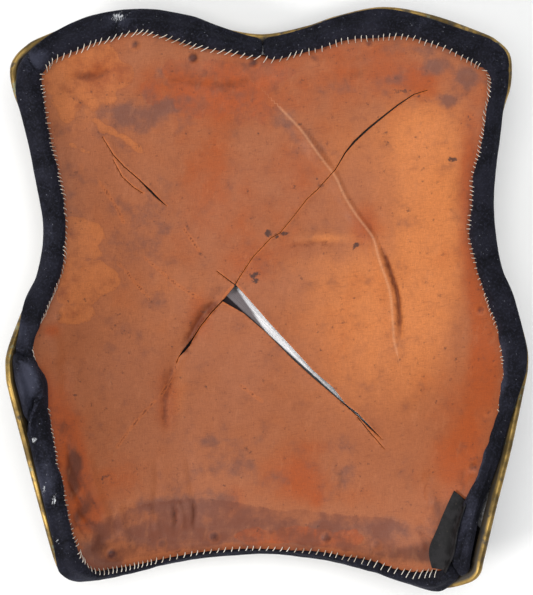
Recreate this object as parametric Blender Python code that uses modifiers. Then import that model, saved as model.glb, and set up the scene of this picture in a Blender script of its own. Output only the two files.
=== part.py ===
"""The back plate of a cuirass, lying on its back with the hollow side up.

A steel shell is bound along its edge with brass, held by brass rivets, lined with
leather and finished with a padded roll sewn round the leather's edge. Sizes are in metres.
"""

import bisect
import math

import bmesh
import bpy
from mathutils import Matrix, Vector
from mathutils.bvhtree import BVHTree

# The steel plate. Its plan is seen from above, with +Y towards the neck
PLATE_WIDTH = 0.362
PLATE_HEIGHT = 0.412
PLATE_THICKNESS = 0.0014
PLATE_COLUMNS = 21
PLATE_ROWS = 22

# The hollow: an ellipse across the back, and a line that rises to the neck and to the waist
TORSO_DEPTH = 0.125
NECK_RISE = 0.030
WAIST_RISE = 0.026
FLARE_DROP = 0.016
REST_FLAT_WIDTH = 0.032
REST_FLAT_LENGTH = 0.070
STEEPEST = 0.985

# Shares of half the plate's height at which it balances and at which the waist is narrowest
BALANCE_UP = 0.013
WAIST_UP = -0.80

# The brass strip folded over the plate's edge
BINDING_OUTSIDE = 0.0075
BINDING_INSIDE = 0.0060
BINDING_THICKNESS = 0.0008
BINDING_BEAD = 0.0012

# The rivets, with domed heads outside and burred ends inside
RIVET_COUNT = 32
RIVET_INSET = 0.023
RIVET_START = 0.81
RIVET_HEAD_RADIUS = 0.0046
RIVET_HEAD_HEIGHT = 0.0026
RIVET_SHANK_RADIUS = 0.0015
RIVET_BURR_RADIUS = 0.0022
RIVET_BURR_HEIGHT = 0.0010
RIVET_SIDES = 6

# The leather lining, held off the steel most in the middle
LINING_THICKNESS = 0.0018
LINING_EDGE_GAP = 0.0028
LINING_MIDDLE_GAP = 0.0075
FOLD_HEIGHT = 0.0040
FOLD_WIDTH = 0.0150
LINING_COLUMNS = 26
LINING_ROWS = 28

# The padded roll round the lining's edge
ROLL_WIDTH = 0.0160
ROLL_HEIGHT = 0.0100
ROLL_OVERHANG = 0.0025
ROLL_CORNER = 0.29
ROLL_TAIL_REACH = 0.0050
ROLL_TAIL_THICKNESS = 0.0014
ROLL_THIN_FROM = 0.4
ROLL_JOINT_GAP = 0.0005
ROLL_END_LENGTH = 0.004
ROLL_CLEARANCE = 0.0008
SEAM_EASE = 0.0040

# The bare leather tab sewn on the lining at the lower right corner
TAB_LENGTH = 0.050
TAB_WIDTH = 0.013
TAB_THICKNESS = 0.0010
TAB_CLEARANCE = 0.0008
TAB_PAST_CORNER = 0.0225
TAB_FOOT_INSET = 0.0042
TAB_BESIDE_NEAR = 0.0130
TAB_BESIDE_FAR = 0.0480

# Gaps: between pieces that touch, between bent pieces that touch, and round a shank
CLEARANCE = 0.0003
BENT_CLEARANCE = 0.0006
HOLE_CLEARANCE = 0.0004

HALF_WIDTH = PLATE_WIDTH / 2
HALF_HEIGHT = PLATE_HEIGHT / 2

# The two halves of the plate's edge, from the neck down to the small of the back.
# Each row holds how far out and how far up the point is, as shares of half the plate
EDGE_RIGHT = (
    (0.000, 0.917),
    (0.179, 0.943),
    (0.296, 0.974),
    (0.478, 1.000),
    (0.671, 0.966),
    (0.863, 0.897),
    (0.919, 0.866),
    (0.954, 0.831),
    (0.964, 0.787),
    (0.958, 0.714),
    (0.926, 0.614),
    (0.892, 0.408),
    (0.887, 0.249),
    (0.912, 0.090),
    (0.956, -0.013),
    (0.996, -0.164),
    (1.000, -0.241),
    (0.985, -0.313),
    (0.931, -0.516),
    (0.870, -0.720),
    (0.825, -0.892),
    (0.810, -0.947),
    (0.771, -0.977),
    (0.679, -1.000),
    (0.583, -0.982),
    (0.466, -0.947),
    (0.346, -0.919),
    (0.226, -0.897),
    (0.000, -0.874),
)
EDGE_LEFT = (
    (0.000, 0.917),
    (0.179, 0.943),
    (0.296, 0.974),
    (0.478, 0.995),
    (0.671, 0.970),
    (0.863, 0.904),
    (0.925, 0.870),
    (0.965, 0.831),
    (0.979, 0.787),
    (0.966, 0.714),
    (0.928, 0.614),
    (0.883, 0.408),
    (0.857, 0.249),
    (0.882, 0.090),
    (0.935, -0.013),
    (0.994, -0.164),
    (1.000, -0.241),
    (0.987, -0.313),
    (0.928, -0.516),
    (0.870, -0.720),
    (0.824, -0.882),
    (0.802, -0.918),
    (0.755, -0.938),
    (0.679, -0.937),
    (0.583, -0.927),
    (0.466, -0.907),
    (0.346, -0.890),
    (0.226, -0.880),
    (0.000, -0.874),
)
SHOULDER_CORNER_ROW = 7
WAIST_CORNER_ROW = 21
SAMPLES_PER_ROW = 8

# Half the torso's breadth: how far up, and the breadth as a share of half the plate's width
BREADTH_ROWS = (
    (-1.0, 1.035),
    (-0.6, 1.045),
    (-0.2, 1.080),
    (0.2, 1.105),
    (0.6, 1.217),
    (1.0, 1.338),
)

# The roll on each side, by share of the way from the neck to the small of the back:
# place, width, height, overhang and how far its tail is wrapped round the edge. The three
# sizes are shares of the roll's own
ROLL_COLUMNS = ("place", "width", "height", "overhang", "wrap")
ROLL_RIGHT = (
    (0.00, 1.10, 1.00, -0.6, 0.25),
    (0.08, 1.15, 1.00, -0.3, 0.50),
    (0.20, 1.05, 1.00, -0.5, 0.40),
    (0.28, 0.90, 0.95, 0.2, 0.50),
    (0.36, 0.70, 0.90, 1.2, 0.65),
    (0.46, 0.85, 1.00, 1.0, 0.80),
    (0.56, 0.95, 1.05, 1.0, 0.60),
    (0.66, 0.90, 1.00, -0.2, 0.00),
    (0.74, 0.95, 0.95, -1.6, 0.00),
    (0.80, 0.95, 0.90, -1.4, 0.15),
    (0.84, 0.80, 0.75, 0.2, 0.70),
    (0.90, 0.70, 0.60, 0.6, 0.65),
    (0.95, 0.45, 0.45, 0.0, 0.55),
    (1.00, 0.30, 0.36, -0.2, 0.50),
)
ROLL_LEFT = (
    (0.00, 1.10, 1.00, -0.6, 0.25),
    (0.08, 1.10, 1.05, 0.6, 0.65),
    (0.17, 1.00, 1.00, 0.6, 0.70),
    (0.26, 1.00, 0.95, -0.6, 0.00),
    (0.33, 0.90, 1.00, 0.6, 0.65),
    (0.42, 0.85, 1.00, 0.8, 0.80),
    (0.50, 0.95, 1.05, 1.0, 0.95),
    (0.60, 0.95, 1.00, 0.4, 0.30),
    (0.68, 1.15, 1.10, -1.2, 0.10),
    (0.75, 1.15, 1.00, -1.0, 0.10),
    (0.81, 0.90, 0.80, 0.4, 0.80),
    (0.87, 0.60, 0.55, 0.4, 0.70),
    (0.93, 0.38, 0.42, 0.0, 0.60),
    (1.00, 0.30, 0.36, -0.2, 0.50),
)
# Where on the right side the two rolls meet, and how much their ends are drawn in
ROLL_JOINT_PLACE = 0.80
ROLL_END_TAPER = 0.7

# The folds of the slack leather: the route in plan shares, then the height and the width as
# shares of the sizes above
LINING_FOLDS = (
    (
        (
            (0.09, 0.647),
            (0.20, 0.527),
            (0.28, 0.437),
            (0.37, 0.287),
            (0.45, 0.137),
            (0.50, 0.007),
            (0.51, -0.173),
        ),
        1.0,
        1.0,
    ),
    (((-0.80, -0.433), (-0.74, -0.633), (-0.64, -0.833)), 0.8, 1.0),
    (((0.62, -0.413), (0.70, -0.573), (0.68, -0.773)), 0.6, 1.0),
    (((-0.31, -0.173), (-0.38, -0.313), (-0.33, -0.533)), 0.5, 1.1),
)

# The tears: the route down one edge and back up the other, in plan shares
GASH = (
    (-0.123, 0.052),
    (-0.060, -0.018),
    (0.001, -0.075),
    (0.088, -0.160),
    (0.183, -0.253),
    (0.262, -0.314),
    (0.309, -0.373),
    (0.357, -0.405),
    (0.451, -0.494),
    (0.355, -0.413),
    (0.273, -0.349),
    (0.183, -0.278),
    (0.103, -0.217),
    (-0.004, -0.121),
    (-0.091, -0.054),
    (-0.177, -0.005),
)
SHOULDER_TEAR = (
    (0.646, 0.717),
    (0.585, 0.698),
    (0.478, 0.632),
    (0.355, 0.543),
    (0.320, 0.505),
    (0.281, 0.447),
    (0.207, 0.378),
    (0.166, 0.347),
    (0.056, 0.229),
    (-0.054, 0.145),
    (-0.128, 0.053),
    (-0.050, 0.155),
    (0.062, 0.237),
    (0.172, 0.356),
    (0.213, 0.387),
    (0.285, 0.457),
    (0.325, 0.519),
    (0.360, 0.556),
    (0.480, 0.645),
    (0.592, 0.709),
)
ARM_TEAR = (
    (-0.640, 0.572),
    (-0.600, 0.505),
    (-0.556, 0.463),
    (-0.492, 0.415),
    (-0.460, 0.381),
    (-0.385, 0.323),
    (-0.450, 0.392),
    (-0.488, 0.426),
    (-0.556, 0.474),
    (-0.597, 0.516),
)
WAIST_TEAR = (
    (-0.180, -0.007),
    (-0.225, -0.047),
    (-0.269, -0.095),
    (-0.312, -0.155),
    (-0.356, -0.203),
    (-0.302, -0.149),
    (-0.261, -0.090),
    (-0.217, -0.041),
)
TEARS = (GASH, SHOULDER_TEAR, ARM_TEAR, WAIST_TEAR)

# How much the tab narrows towards its ends
TAB_NARROWING = 0.55


def plan_point(across, up):
    """The plan point, in metres, of a pair of shares."""
    return Vector((across * HALF_WIDTH, (up - BALANCE_UP) * HALF_HEIGHT))


def eased(share):
    """A share from 0 to 1 with a slow start and a slow end."""
    share = min(max(share, 0.0), 1.0)
    return share * share * (3 - 2 * share)


def from_rows(rows, place, column):
    """The value of a table's column at a place, eased from row to row."""
    if place <= rows[0][0]:
        return rows[0][column]
    for low, high in zip(rows, rows[1:]):
        if place <= high[0]:
            share = eased((place - low[0]) / (high[0] - low[0]))
            return low[column] + (high[column] - low[column]) * share
    return rows[-1][column]


def form_height(x, y):
    """How high the plate's outer face is above the floor at a plan point."""
    up = y / HALF_HEIGHT + BALANCE_UP
    flat = REST_FLAT_WIDTH / 2
    breadth = from_rows(BREADTH_ROWS, up, 1) * HALF_WIDTH
    across = min(max(0.0, abs(x) - flat) / (breadth - flat), STEEPEST)
    height = TORSO_DEPTH * (1 - math.sqrt(1 - across * across))
    off_flat = max(0.0, abs(y) - REST_FLAT_LENGTH / 2)
    if y >= 0:
        reach = (1 - BALANCE_UP) * HALF_HEIGHT - REST_FLAT_LENGTH / 2
        return height + NECK_RISE * (off_flat / reach) ** 2
    waist = (BALANCE_UP - WAIST_UP) * HALF_HEIGHT - REST_FLAT_LENGTH / 2
    height += WAIST_RISE * eased(off_flat / waist)
    past_waist = max(0.0, off_flat - waist) / ((1 + WAIST_UP) * HALF_HEIGHT)
    narrowing = 1 - min(abs(x) / HALF_WIDTH, 1.0) ** 2
    return height - FLARE_DROP * past_waist**2 * narrowing


def form_normal(x, y):
    """The direction into the hollow, square to the plate, at a plan point."""
    step = 0.0005
    slope_x = (form_height(x + step, y) - form_height(x - step, y)) / (2 * step)
    slope_y = (form_height(x, y + step) - form_height(x, y - step)) / (2 * step)
    return Vector((-slope_x, -slope_y, 1)).normalized()


def above_form(x, y, height):
    """The point a given height into the hollow from the plate's outer face."""
    return Vector((x, y, form_height(x, y))) + form_normal(x, y) * height


class Route:
    """A line through points, read by the share of its length."""

    def __init__(self, points):
        self.points = points
        self.lengths = [0.0]
        for start, end in zip(points, points[1:]):
            self.lengths.append(self.lengths[-1] + (end - start).length)

    @property
    def length(self):
        return self.lengths[-1]

    def at(self, share):
        distance = min(max(share, 0.0), 1.0) * self.length
        last = min(max(bisect.bisect_left(self.lengths, distance), 1), len(self.points) - 1)
        span = self.lengths[last] - self.lengths[last - 1]
        part = (distance - self.lengths[last - 1]) / span
        return self.points[last - 1].lerp(self.points[last], part)

    def share_of(self, index):
        """The share of the length at which a point of the route lies."""
        return self.lengths[index] / self.length


def smooth_loop(points, samples):
    """A closed smooth curve through plan points, with its first point repeated at the end."""
    count = len(points)
    curve = []
    for index in range(count):
        before, start, end, after = (points[(index + k) % count] for k in (-1, 0, 1, 2))
        for sample in range(samples):
            t = sample / samples
            curve.append(
                0.5
                * (
                    2 * start
                    + (end - before) * t
                    + (2 * before - 5 * start + 4 * end - after) * t**2
                    + (3 * start - 3 * end + after - before) * t**3
                )
            )
    curve.append(curve[0])
    return curve


def plate_edge():
    """The plate's edge in plan, clockwise from the neck."""
    right = [plan_point(*row) for row in EDGE_RIGHT]
    left = [plan_point(-across, up) for across, up in EDGE_LEFT[-2:0:-1]]
    return Route(smooth_loop(right + left, SAMPLES_PER_ROW))


def corner_shares(edge):
    """The shares of the edge's length at its corners, clockwise from the left shoulder."""
    last = len(EDGE_RIGHT) - 1
    rows = (
        2 * last - SHOULDER_CORNER_ROW,
        SHOULDER_CORNER_ROW,
        WAIST_CORNER_ROW,
        2 * last - WAIST_CORNER_ROW,
    )
    return [edge.share_of(row * SAMPLES_PER_ROW) for row in rows]


def side_shares(edge, u, v):
    """The shares of the edge's length at which a patch's lines meet its top, right, bottom and left."""
    left_shoulder, right_shoulder, right_waist, left_waist = corner_shares(edge)
    top = left_shoulder - 1 + (right_shoulder - left_shoulder + 1) * u
    right = right_waist + (right_shoulder - right_waist) * v
    bottom = left_waist + (right_waist - left_waist) * u
    left = left_waist + (left_shoulder - left_waist) * v
    return top % 1.0, right, bottom, left


def patch_plan(edge, rim, u, v):
    """The plan point of the patch inside a rim, u across and v up, both from 0 to 1."""
    top, right, bottom, left = (rim(share) for share in side_shares(edge, u, v))
    top_left, top_right, bottom_right, bottom_left = (rim(share) for share in corner_shares(edge))
    ruled_up = bottom.lerp(top, v)
    ruled_across = left.lerp(right, u)
    corners = bottom_left.lerp(bottom_right, u).lerp(top_left.lerp(top_right, u), v)
    return ruled_up + ruled_across - corners


def round_the_patch(columns, rows):
    """The grid lines round a patch, clockwise from its top left corner, each with the next line in."""
    steps = [(k, rows) for k in range(columns)]
    steps += [(columns, rows - k) for k in range(rows)]
    steps += [(columns - k, 0) for k in range(columns)]
    steps += [(0, k) for k in range(rows)]
    for column, row in steps:
        yield column, row, min(max(column, 1), columns - 1), min(max(row, 1), rows - 1)


def finer_at_ends(share):
    """Shares spaced closer at both ends, where the plate is steepest."""
    ease = 0.55
    return share - ease * math.sin(2 * math.pi * share) / (2 * math.pi)


def edge_frame(edge, share):
    """The edge's point, its direction outwards along the plate and the direction into the hollow."""
    step = 0.002
    here = edge.at(share % 1.0)
    ahead = edge.at((share + step) % 1.0)
    behind = edge.at((share - step) % 1.0)
    along = above_form(ahead.x, ahead.y, 0) - above_form(behind.x, behind.y, 0)
    inward = form_normal(here.x, here.y)
    return above_form(here.x, here.y, 0), inward.cross(along).normalized(), inward


def inset_plan(edge, share, inset):
    """The plan point a given distance in from the edge, measured along the plate."""
    point, outward, _ = edge_frame(edge, share)
    return (point - outward * inset).xy


def lining_height(u, v):
    """How far the leather's back is from the plate's outer face."""
    fullness = eased(3.0 * (16 * u * (1 - u) * v * (1 - v)))
    gap = LINING_EDGE_GAP + (LINING_MIDDLE_GAP - LINING_EDGE_GAP) * fullness
    return PLATE_THICKNESS + gap


def fold_height(x, y):
    """How high the leather's folds stand at a plan point."""
    here = Vector((x, y))
    total = 0.0
    for route, height, width in LINING_FOLDS:
        fold = Route([plan_point(*shares) for shares in route])
        steps = 24
        nearest = min(range(steps + 1), key=lambda k: (fold.at(k / steps) - here).length)
        distance = (fold.at(nearest / steps) - here).length
        fade = math.sin(math.pi * nearest / steps) ** 0.5
        total += height * FOLD_HEIGHT * fade * math.exp(-2 * (distance / (width * FOLD_WIDTH)) ** 2)
    return total


def mesh_object(name, mesh, material):
    """A new object in the cuirass's collection."""
    obj = bpy.data.objects.new(name, mesh)
    parts.objects.link(obj)
    mesh.materials.append(material)
    return obj


def patch_mesh(name, columns, rows, place):
    """A flat grid with each point moved to place(u, v)."""
    grid = bmesh.new()
    bmesh.ops.create_grid(grid, x_segments=columns, y_segments=rows, size=0.5)
    for vertex in grid.verts:
        vertex.co = place(vertex.co.x + 0.5, vertex.co.y + 0.5)
    mesh = bpy.data.meshes.new(name)
    grid.to_mesh(mesh)
    grid.free()
    mesh.shade_smooth()
    return mesh


def add_wall(obj, thickness):
    """Thickens an open surface into the hollow."""
    wall = obj.modifiers.new("wall", "SOLIDIFY")
    wall.thickness = thickness
    wall.offset = 1


def loft(name, sections, closed):
    """A body through sections of equal point counts: a ring, or a bar with its ends capped."""
    shape = bmesh.new()
    rings = [[shape.verts.new(point) for point in section] for section in sections]
    pairs = list(zip(rings, rings[1:]))
    if closed:
        pairs.append((rings[-1], rings[0]))
    for ring, following in pairs:
        for k in range(len(ring)):
            shape.faces.new((ring[k - 1], ring[k], following[k], following[k - 1]))
    if not closed:
        shape.faces.new(rings[0])
        shape.faces.new(rings[-1])
    bmesh.ops.recalc_face_normals(shape, faces=shape.faces)
    mesh = bpy.data.meshes.new(name)
    shape.to_mesh(mesh)
    shape.free()
    mesh.shade_smooth()
    return mesh


def turned_mesh(name, profile, sides):
    """A turned body: its outline, from the middle of its top down the outer side, spun round Z."""
    outline = bpy.data.meshes.new(name + "_outline")
    edges = [(k, k + 1) for k in range(len(profile) - 1)]
    outline.from_pydata([(radius, 0, height) for radius, height in profile], edges, [])
    turning = bpy.data.objects.new(name + "_turning", outline)
    parts.objects.link(turning)
    screw = turning.modifiers.new("turn", "SCREW")
    screw.steps = sides
    screw.render_steps = sides
    screw.use_merge_vertices = True
    screw.merge_threshold = 0.00001
    graph = bpy.context.evaluated_depsgraph_get()
    mesh = bpy.data.meshes.new_from_object(turning.evaluated_get(graph))
    mesh.name = name
    bpy.data.objects.remove(turning)
    return mesh


def make_material(name, colour, roughness, metallic):
    material = bpy.data.materials.new(name)
    material.use_nodes = True
    shader = material.node_tree.nodes["Principled BSDF"]
    shader.inputs["Base Color"].default_value = (*colour, 1)
    shader.inputs["Roughness"].default_value = roughness
    shader.inputs["Metallic"].default_value = metallic
    return material


def plate_point(edge, column, row):
    """A grid point of the plate's outer face."""
    u, v = finer_at_ends(column / PLATE_COLUMNS), finer_at_ends(row / PLATE_ROWS)
    plan = patch_plan(edge, edge.at, u, v)
    return above_form(plan.x, plan.y, 0)


def make_plate(edge, steel):
    """The steel shell, a single sheet hammered to the shape of the back."""

    def place(u, v):
        return plate_point(edge, u * PLATE_COLUMNS, v * PLATE_ROWS)

    plate = mesh_object("steel_plate", patch_mesh("steel_plate", PLATE_COLUMNS, PLATE_ROWS, place), steel)
    add_wall(plate, PLATE_THICKNESS)
    return plate


def make_binding(edge, brass):
    """The brass strip, a channel that grips the plate's edge all the way round."""
    inner = PLATE_THICKNESS + BENT_CLEARANCE
    outer = -BENT_CLEARANCE
    section = (
        (-BINDING_OUTSIDE, outer - BINDING_THICKNESS),
        (BENT_CLEARANCE, outer - BINDING_THICKNESS),
        (BENT_CLEARANCE + BINDING_BEAD, PLATE_THICKNESS / 2),
        (BENT_CLEARANCE, inner + BINDING_THICKNESS),
        (-BINDING_INSIDE, inner + BINDING_THICKNESS),
        (-BINDING_INSIDE, inner),
        (BENT_CLEARANCE, inner),
        (BENT_CLEARANCE, outer),
        (-BINDING_OUTSIDE, outer),
    )
    outline = list(round_the_patch(PLATE_COLUMNS, PLATE_ROWS))
    rims = [plate_point(edge, column, row) for column, row, _, _ in outline]
    sections = []
    for k, (_, _, inner_column, inner_row) in enumerate(outline):
        rim = rims[k]
        along = rims[(k + 1) % len(rims)] - rims[k - 1]
        outward = rim - plate_point(edge, inner_column, inner_row)
        inward = along.cross(outward).normalized()
        outward = inward.cross(along).normalized()
        sections.append([rim + outward * across + inward * up for across, up in section])
    return mesh_object("brass_binding", loft("brass_binding", sections, closed=True), brass)


def rivet_places(edge, plate):
    """Where the rivets are: evenly spaced on a line that follows the edge, square to the plate."""
    fine = 360
    line = [inset_plan(edge, k / fine, RIVET_INSET) for k in range(fine)]
    row = Route(line + line[:1])
    faces = BVHTree.FromObject(plate, bpy.context.evaluated_depsgraph_get())
    places = []
    for number in range(RIVET_COUNT):
        plan = row.at((number + RIVET_START) / RIVET_COUNT % 1.0)
        point, normal, _, _ = faces.ray_cast(Vector((plan.x, plan.y, -PLATE_HEIGHT)), Vector((0, 0, 1)))
        turn = normal.to_track_quat("Z", "Y").to_matrix().to_4x4()
        places.append(Matrix.Translation(point) @ turn)
    return places


def make_rivets(places, brass):
    """The brass rivets: a domed head outside, a shank through the plate and a burred end inside."""
    burr = -(PLATE_THICKNESS + BENT_CLEARANCE)
    profile = (
        (0, BENT_CLEARANCE + RIVET_HEAD_HEIGHT),
        (0.68 * RIVET_HEAD_RADIUS, BENT_CLEARANCE + 0.66 * RIVET_HEAD_HEIGHT),
        (RIVET_HEAD_RADIUS, BENT_CLEARANCE),
        (RIVET_SHANK_RADIUS, BENT_CLEARANCE),
        (RIVET_SHANK_RADIUS, burr),
        (RIVET_BURR_RADIUS, burr),
        (0, burr - RIVET_BURR_HEIGHT),
    )
    mesh = turned_mesh("rivet", profile, RIVET_SIDES)
    mesh.materials.append(brass)
    for number, place in enumerate(places):
        rivet = bpy.data.objects.new(f"rivet_{number:02d}", mesh)
        parts.objects.link(rivet)
        rivet.matrix_world = place


def drill_plate(plate, places):
    """Cuts the holes that the rivets pass through."""
    pins = bmesh.new()
    radius = (RIVET_SHANK_RADIUS + HOLE_CLEARANCE) / math.cos(math.pi / RIVET_SIDES)
    for place in places:
        bmesh.ops.create_cone(
            pins,
            cap_ends=True,
            segments=RIVET_SIDES,
            radius1=radius,
            radius2=radius,
            depth=PLATE_THICKNESS * 8,
            matrix=place,
        )
    add_cutter(plate, "drill", pins)


def add_cutter(target, name, shape):
    """Makes a hidden cutter of a closed mesh and cuts the target with it."""
    mesh = bpy.data.meshes.new(name)
    shape.to_mesh(mesh)
    shape.free()
    cutter = bpy.data.objects.new(name, mesh)
    cutters.objects.link(cutter)
    cutter.hide_render = True
    cutter.display_type = "WIRE"
    cut = target.modifiers.new(name, "BOOLEAN")
    cut.operation = "DIFFERENCE"
    cut.solver = "EXACT"
    cut.object = cutter


def roll_size(share):
    """The roll's width, height, overhang and wrap at a share of the whole edge."""
    share = share % 1.0
    rows, place = (ROLL_RIGHT, share * 2) if share <= 0.5 else (ROLL_LEFT, (1 - share) * 2)
    width = from_rows(rows, place, ROLL_COLUMNS.index("width")) * ROLL_WIDTH
    height = from_rows(rows, place, ROLL_COLUMNS.index("height")) * ROLL_HEIGHT
    overhang = from_rows(rows, place, ROLL_COLUMNS.index("overhang")) * ROLL_OVERHANG
    return width, height, overhang, from_rows(rows, place, ROLL_COLUMNS.index("wrap"))


def seam_plan(edge, share, clearance=0.0):
    """The plan point of the seam, eased round the corners, where the roll meets the lining."""
    total, weights = Vector((0, 0)), (1, 2, 3, 2, 1)
    for number, weight in enumerate(weights):
        near = share + (number - 2) * SEAM_EASE / edge.length
        width, _, overhang, _ = roll_size(near)
        total += inset_plan(edge, near, width - overhang + clearance) * weight
    return total / sum(weights)


def roll_outline(width, height, overhang, wrap):
    """The corners of the roll's section: how far out past the edge and how high each one is."""
    tip = overhang + (ROLL_TAIL_REACH - overhang) * wrap
    thinned = min(1.0, wrap / ROLL_THIN_FROM)
    tip_top = height * (1 - ROLL_CORNER) + (ROLL_TAIL_THICKNESS - height * (1 - ROLL_CORNER)) * thinned
    outer, inner = overhang - width * ROLL_CORNER, overhang - width * (1 - ROLL_CORNER)
    return (
        (tip, tip_top),
        (outer + (tip - outer) * 0.5, height * 0.3 + tip_top * 0.7),
        (outer, height),
        (inner, height),
        (overhang - width, height * (1 - ROLL_CORNER)),
        (overhang - width, height * ROLL_CORNER),
        (inner, 0),
        (outer, 0),
        (outer + (tip - outer) * 0.4, 0),
        (outer + (tip - outer) * 0.75, 0),
        (tip, height * ROLL_CORNER * (1 - thinned)),
    )


def roll_section(edge, share, taper=1.0):
    """The roll's section at one station, lying on the binding, its tail wrapped round the edge."""
    width, height, overhang, wrap = roll_size(share)
    floor = PLATE_THICKNESS + BENT_CLEARANCE + BINDING_THICKNESS + ROLL_CLEARANCE
    rim, seam = edge.at(share % 1.0), seam_plan(edge, share)
    point, outward, inward = edge_frame(edge, share)
    middle = (overhang - width / 2, height / 2)
    points = []
    for corner in roll_outline(width, height, overhang, wrap):
        reach, rise = (m + (c - m) * taper for c, m in zip(corner, middle))
        if reach >= 0:
            turn = reach / floor
            points.append(point + (outward * math.sin(turn) + inward * math.cos(turn)) * (floor + rise))
        else:
            plan = rim.lerp(seam, reach / (overhang - width))
            points.append(above_form(plan.x, plan.y, floor + rise))
    return points


def lining_shares(edge):
    """The shares of the edge's length at the lining's outer points, from the neck clockwise."""
    shares = []
    for column, row, _, _ in round_the_patch(LINING_COLUMNS, LINING_ROWS):
        top, right, bottom, left = side_shares(edge, column / LINING_COLUMNS, row / LINING_ROWS)
        if row == LINING_ROWS:
            shares.append(top)
        elif column == LINING_COLUMNS:
            shares.append(right)
        else:
            shares.append(bottom if row == 0 else left)
    return sorted(shares)


def make_roll(name, edge, start, end, navy):
    """One length of the padded roll, from one share of the edge to another, with drawn-in ends."""
    joint = ROLL_JOINT_GAP / 2 / edge.length
    tip = joint + ROLL_END_LENGTH / edge.length
    stations = [share for share in lining_shares(edge) if start + 1.5 * tip < share < end - 1.5 * tip]
    sections = [roll_section(edge, start + joint, ROLL_END_TAPER), roll_section(edge, start + tip)]
    sections += [roll_section(edge, share) for share in stations]
    sections += [roll_section(edge, end - tip), roll_section(edge, end - joint, ROLL_END_TAPER)]
    return mesh_object(name, loft(name, sections, closed=False), navy)


def make_lining(edge, leather):
    """The leather lining, one hide cut to the roll's inner side, with the tears of age."""

    def rim(share):
        return seam_plan(edge, share, BENT_CLEARANCE)

    def place(u, v):
        plan = patch_plan(edge, rim, u, v)
        return above_form(plan.x, plan.y, lining_height(u, v) + fold_height(plan.x, plan.y))

    mesh = patch_mesh("leather_lining", LINING_COLUMNS, LINING_ROWS, place)
    lining = mesh_object("leather_lining", mesh, leather)
    add_wall(lining, LINING_THICKNESS)
    slits = bmesh.new()
    for number, route in enumerate(TEARS):
        add_prism(slits, [plan_point(*shares) for shares in route], -(number + 1) * CLEARANCE)
    add_cutter(lining, "tears", slits)
    return lining


def add_prism(shape, outline, low):
    """Adds an upright prism to a mesh, through all of the lining's height."""
    foot = [shape.verts.new((point.x, point.y, low)) for point in outline]
    base = shape.faces.new(foot)
    raised = bmesh.ops.extrude_face_region(shape, geom=[base])
    top = [item for item in raised["geom"] if isinstance(item, bmesh.types.BMVert)]
    bmesh.ops.translate(shape, vec=(0, 0, TORSO_DEPTH), verts=top)
    bmesh.ops.recalc_face_normals(shape, faces=shape.faces)


def make_tab(edge, lining, black):
    """The bare leather tab that lies on the lining, beside the seam."""
    corner = corner_shares(edge)[2]
    foot = seam_plan(edge, corner + TAB_PAST_CORNER / edge.length, TAB_FOOT_INSET)
    near = seam_plan(edge, corner - TAB_BESIDE_NEAR / edge.length)
    run = (seam_plan(edge, corner - TAB_BESIDE_FAR / edge.length) - near).normalized()
    side = Vector((-run.y, run.x))
    leather = BVHTree.FromObject(lining, bpy.context.evaluated_depsgraph_get())

    def place(u, v):
        width = TAB_WIDTH * (1 - TAB_NARROWING * (2 * v - 1) ** 2)
        plan = foot + run * TAB_LENGTH * v + side * width * (0.5 - u)
        point, _, _, _ = leather.ray_cast(Vector((plan.x, plan.y, PLATE_HEIGHT)), Vector((0, 0, -1)))
        return point + form_normal(plan.x, plan.y) * TAB_CLEARANCE

    tab = mesh_object("leather_tab", patch_mesh("leather_tab", 2, 6, place), black)
    add_wall(tab, TAB_THICKNESS)
    return tab


for old in list(bpy.data.objects):
    bpy.data.objects.remove(old, do_unlink=True)
parts = bpy.data.collections.new("cuirass_back_plate")
cutters = bpy.data.collections.new("cutters")
bpy.context.scene.collection.children.link(parts)
bpy.context.scene.collection.children.link(cutters)

steel = make_material("polished_steel", (0.62, 0.62, 0.61), 0.22, 1.0)
brass = make_material("aged_brass", (0.52, 0.38, 0.14), 0.38, 1.0)
leather = make_material("tan_leather", (0.42, 0.16, 0.06), 0.55, 0.0)
navy = make_material("navy_cloth", (0.012, 0.012, 0.025), 0.80, 0.0)
black = make_material("black_leather", (0.02, 0.02, 0.02), 0.50, 0.0)

edge = plate_edge()
plate = make_plate(edge, steel)
rivet_spots = rivet_places(edge, plate)
drill_plate(plate, rivet_spots)
make_binding(edge, brass)
make_rivets(rivet_spots, brass)
lining = make_lining(edge, leather)
make_roll("roll_right", edge, 0.0, ROLL_JOINT_PLACE / 2, navy)
make_roll("roll_left", edge, ROLL_JOINT_PLACE / 2, 1.0, navy)
make_tab(edge, lining, black)
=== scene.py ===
"""The looks of a cuirass's back plate, lying on its back with the hollow side up.

Each section makes one kind of piece, from the steel outwards. Sizes are in metres, in the
CAD's own frame: +Y towards the neck, +X to the picture's right, +Z out of the hollow.
"""

import math

import bmesh
import bpy
import numpy as np
from mathutils import Matrix, Vector


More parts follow.
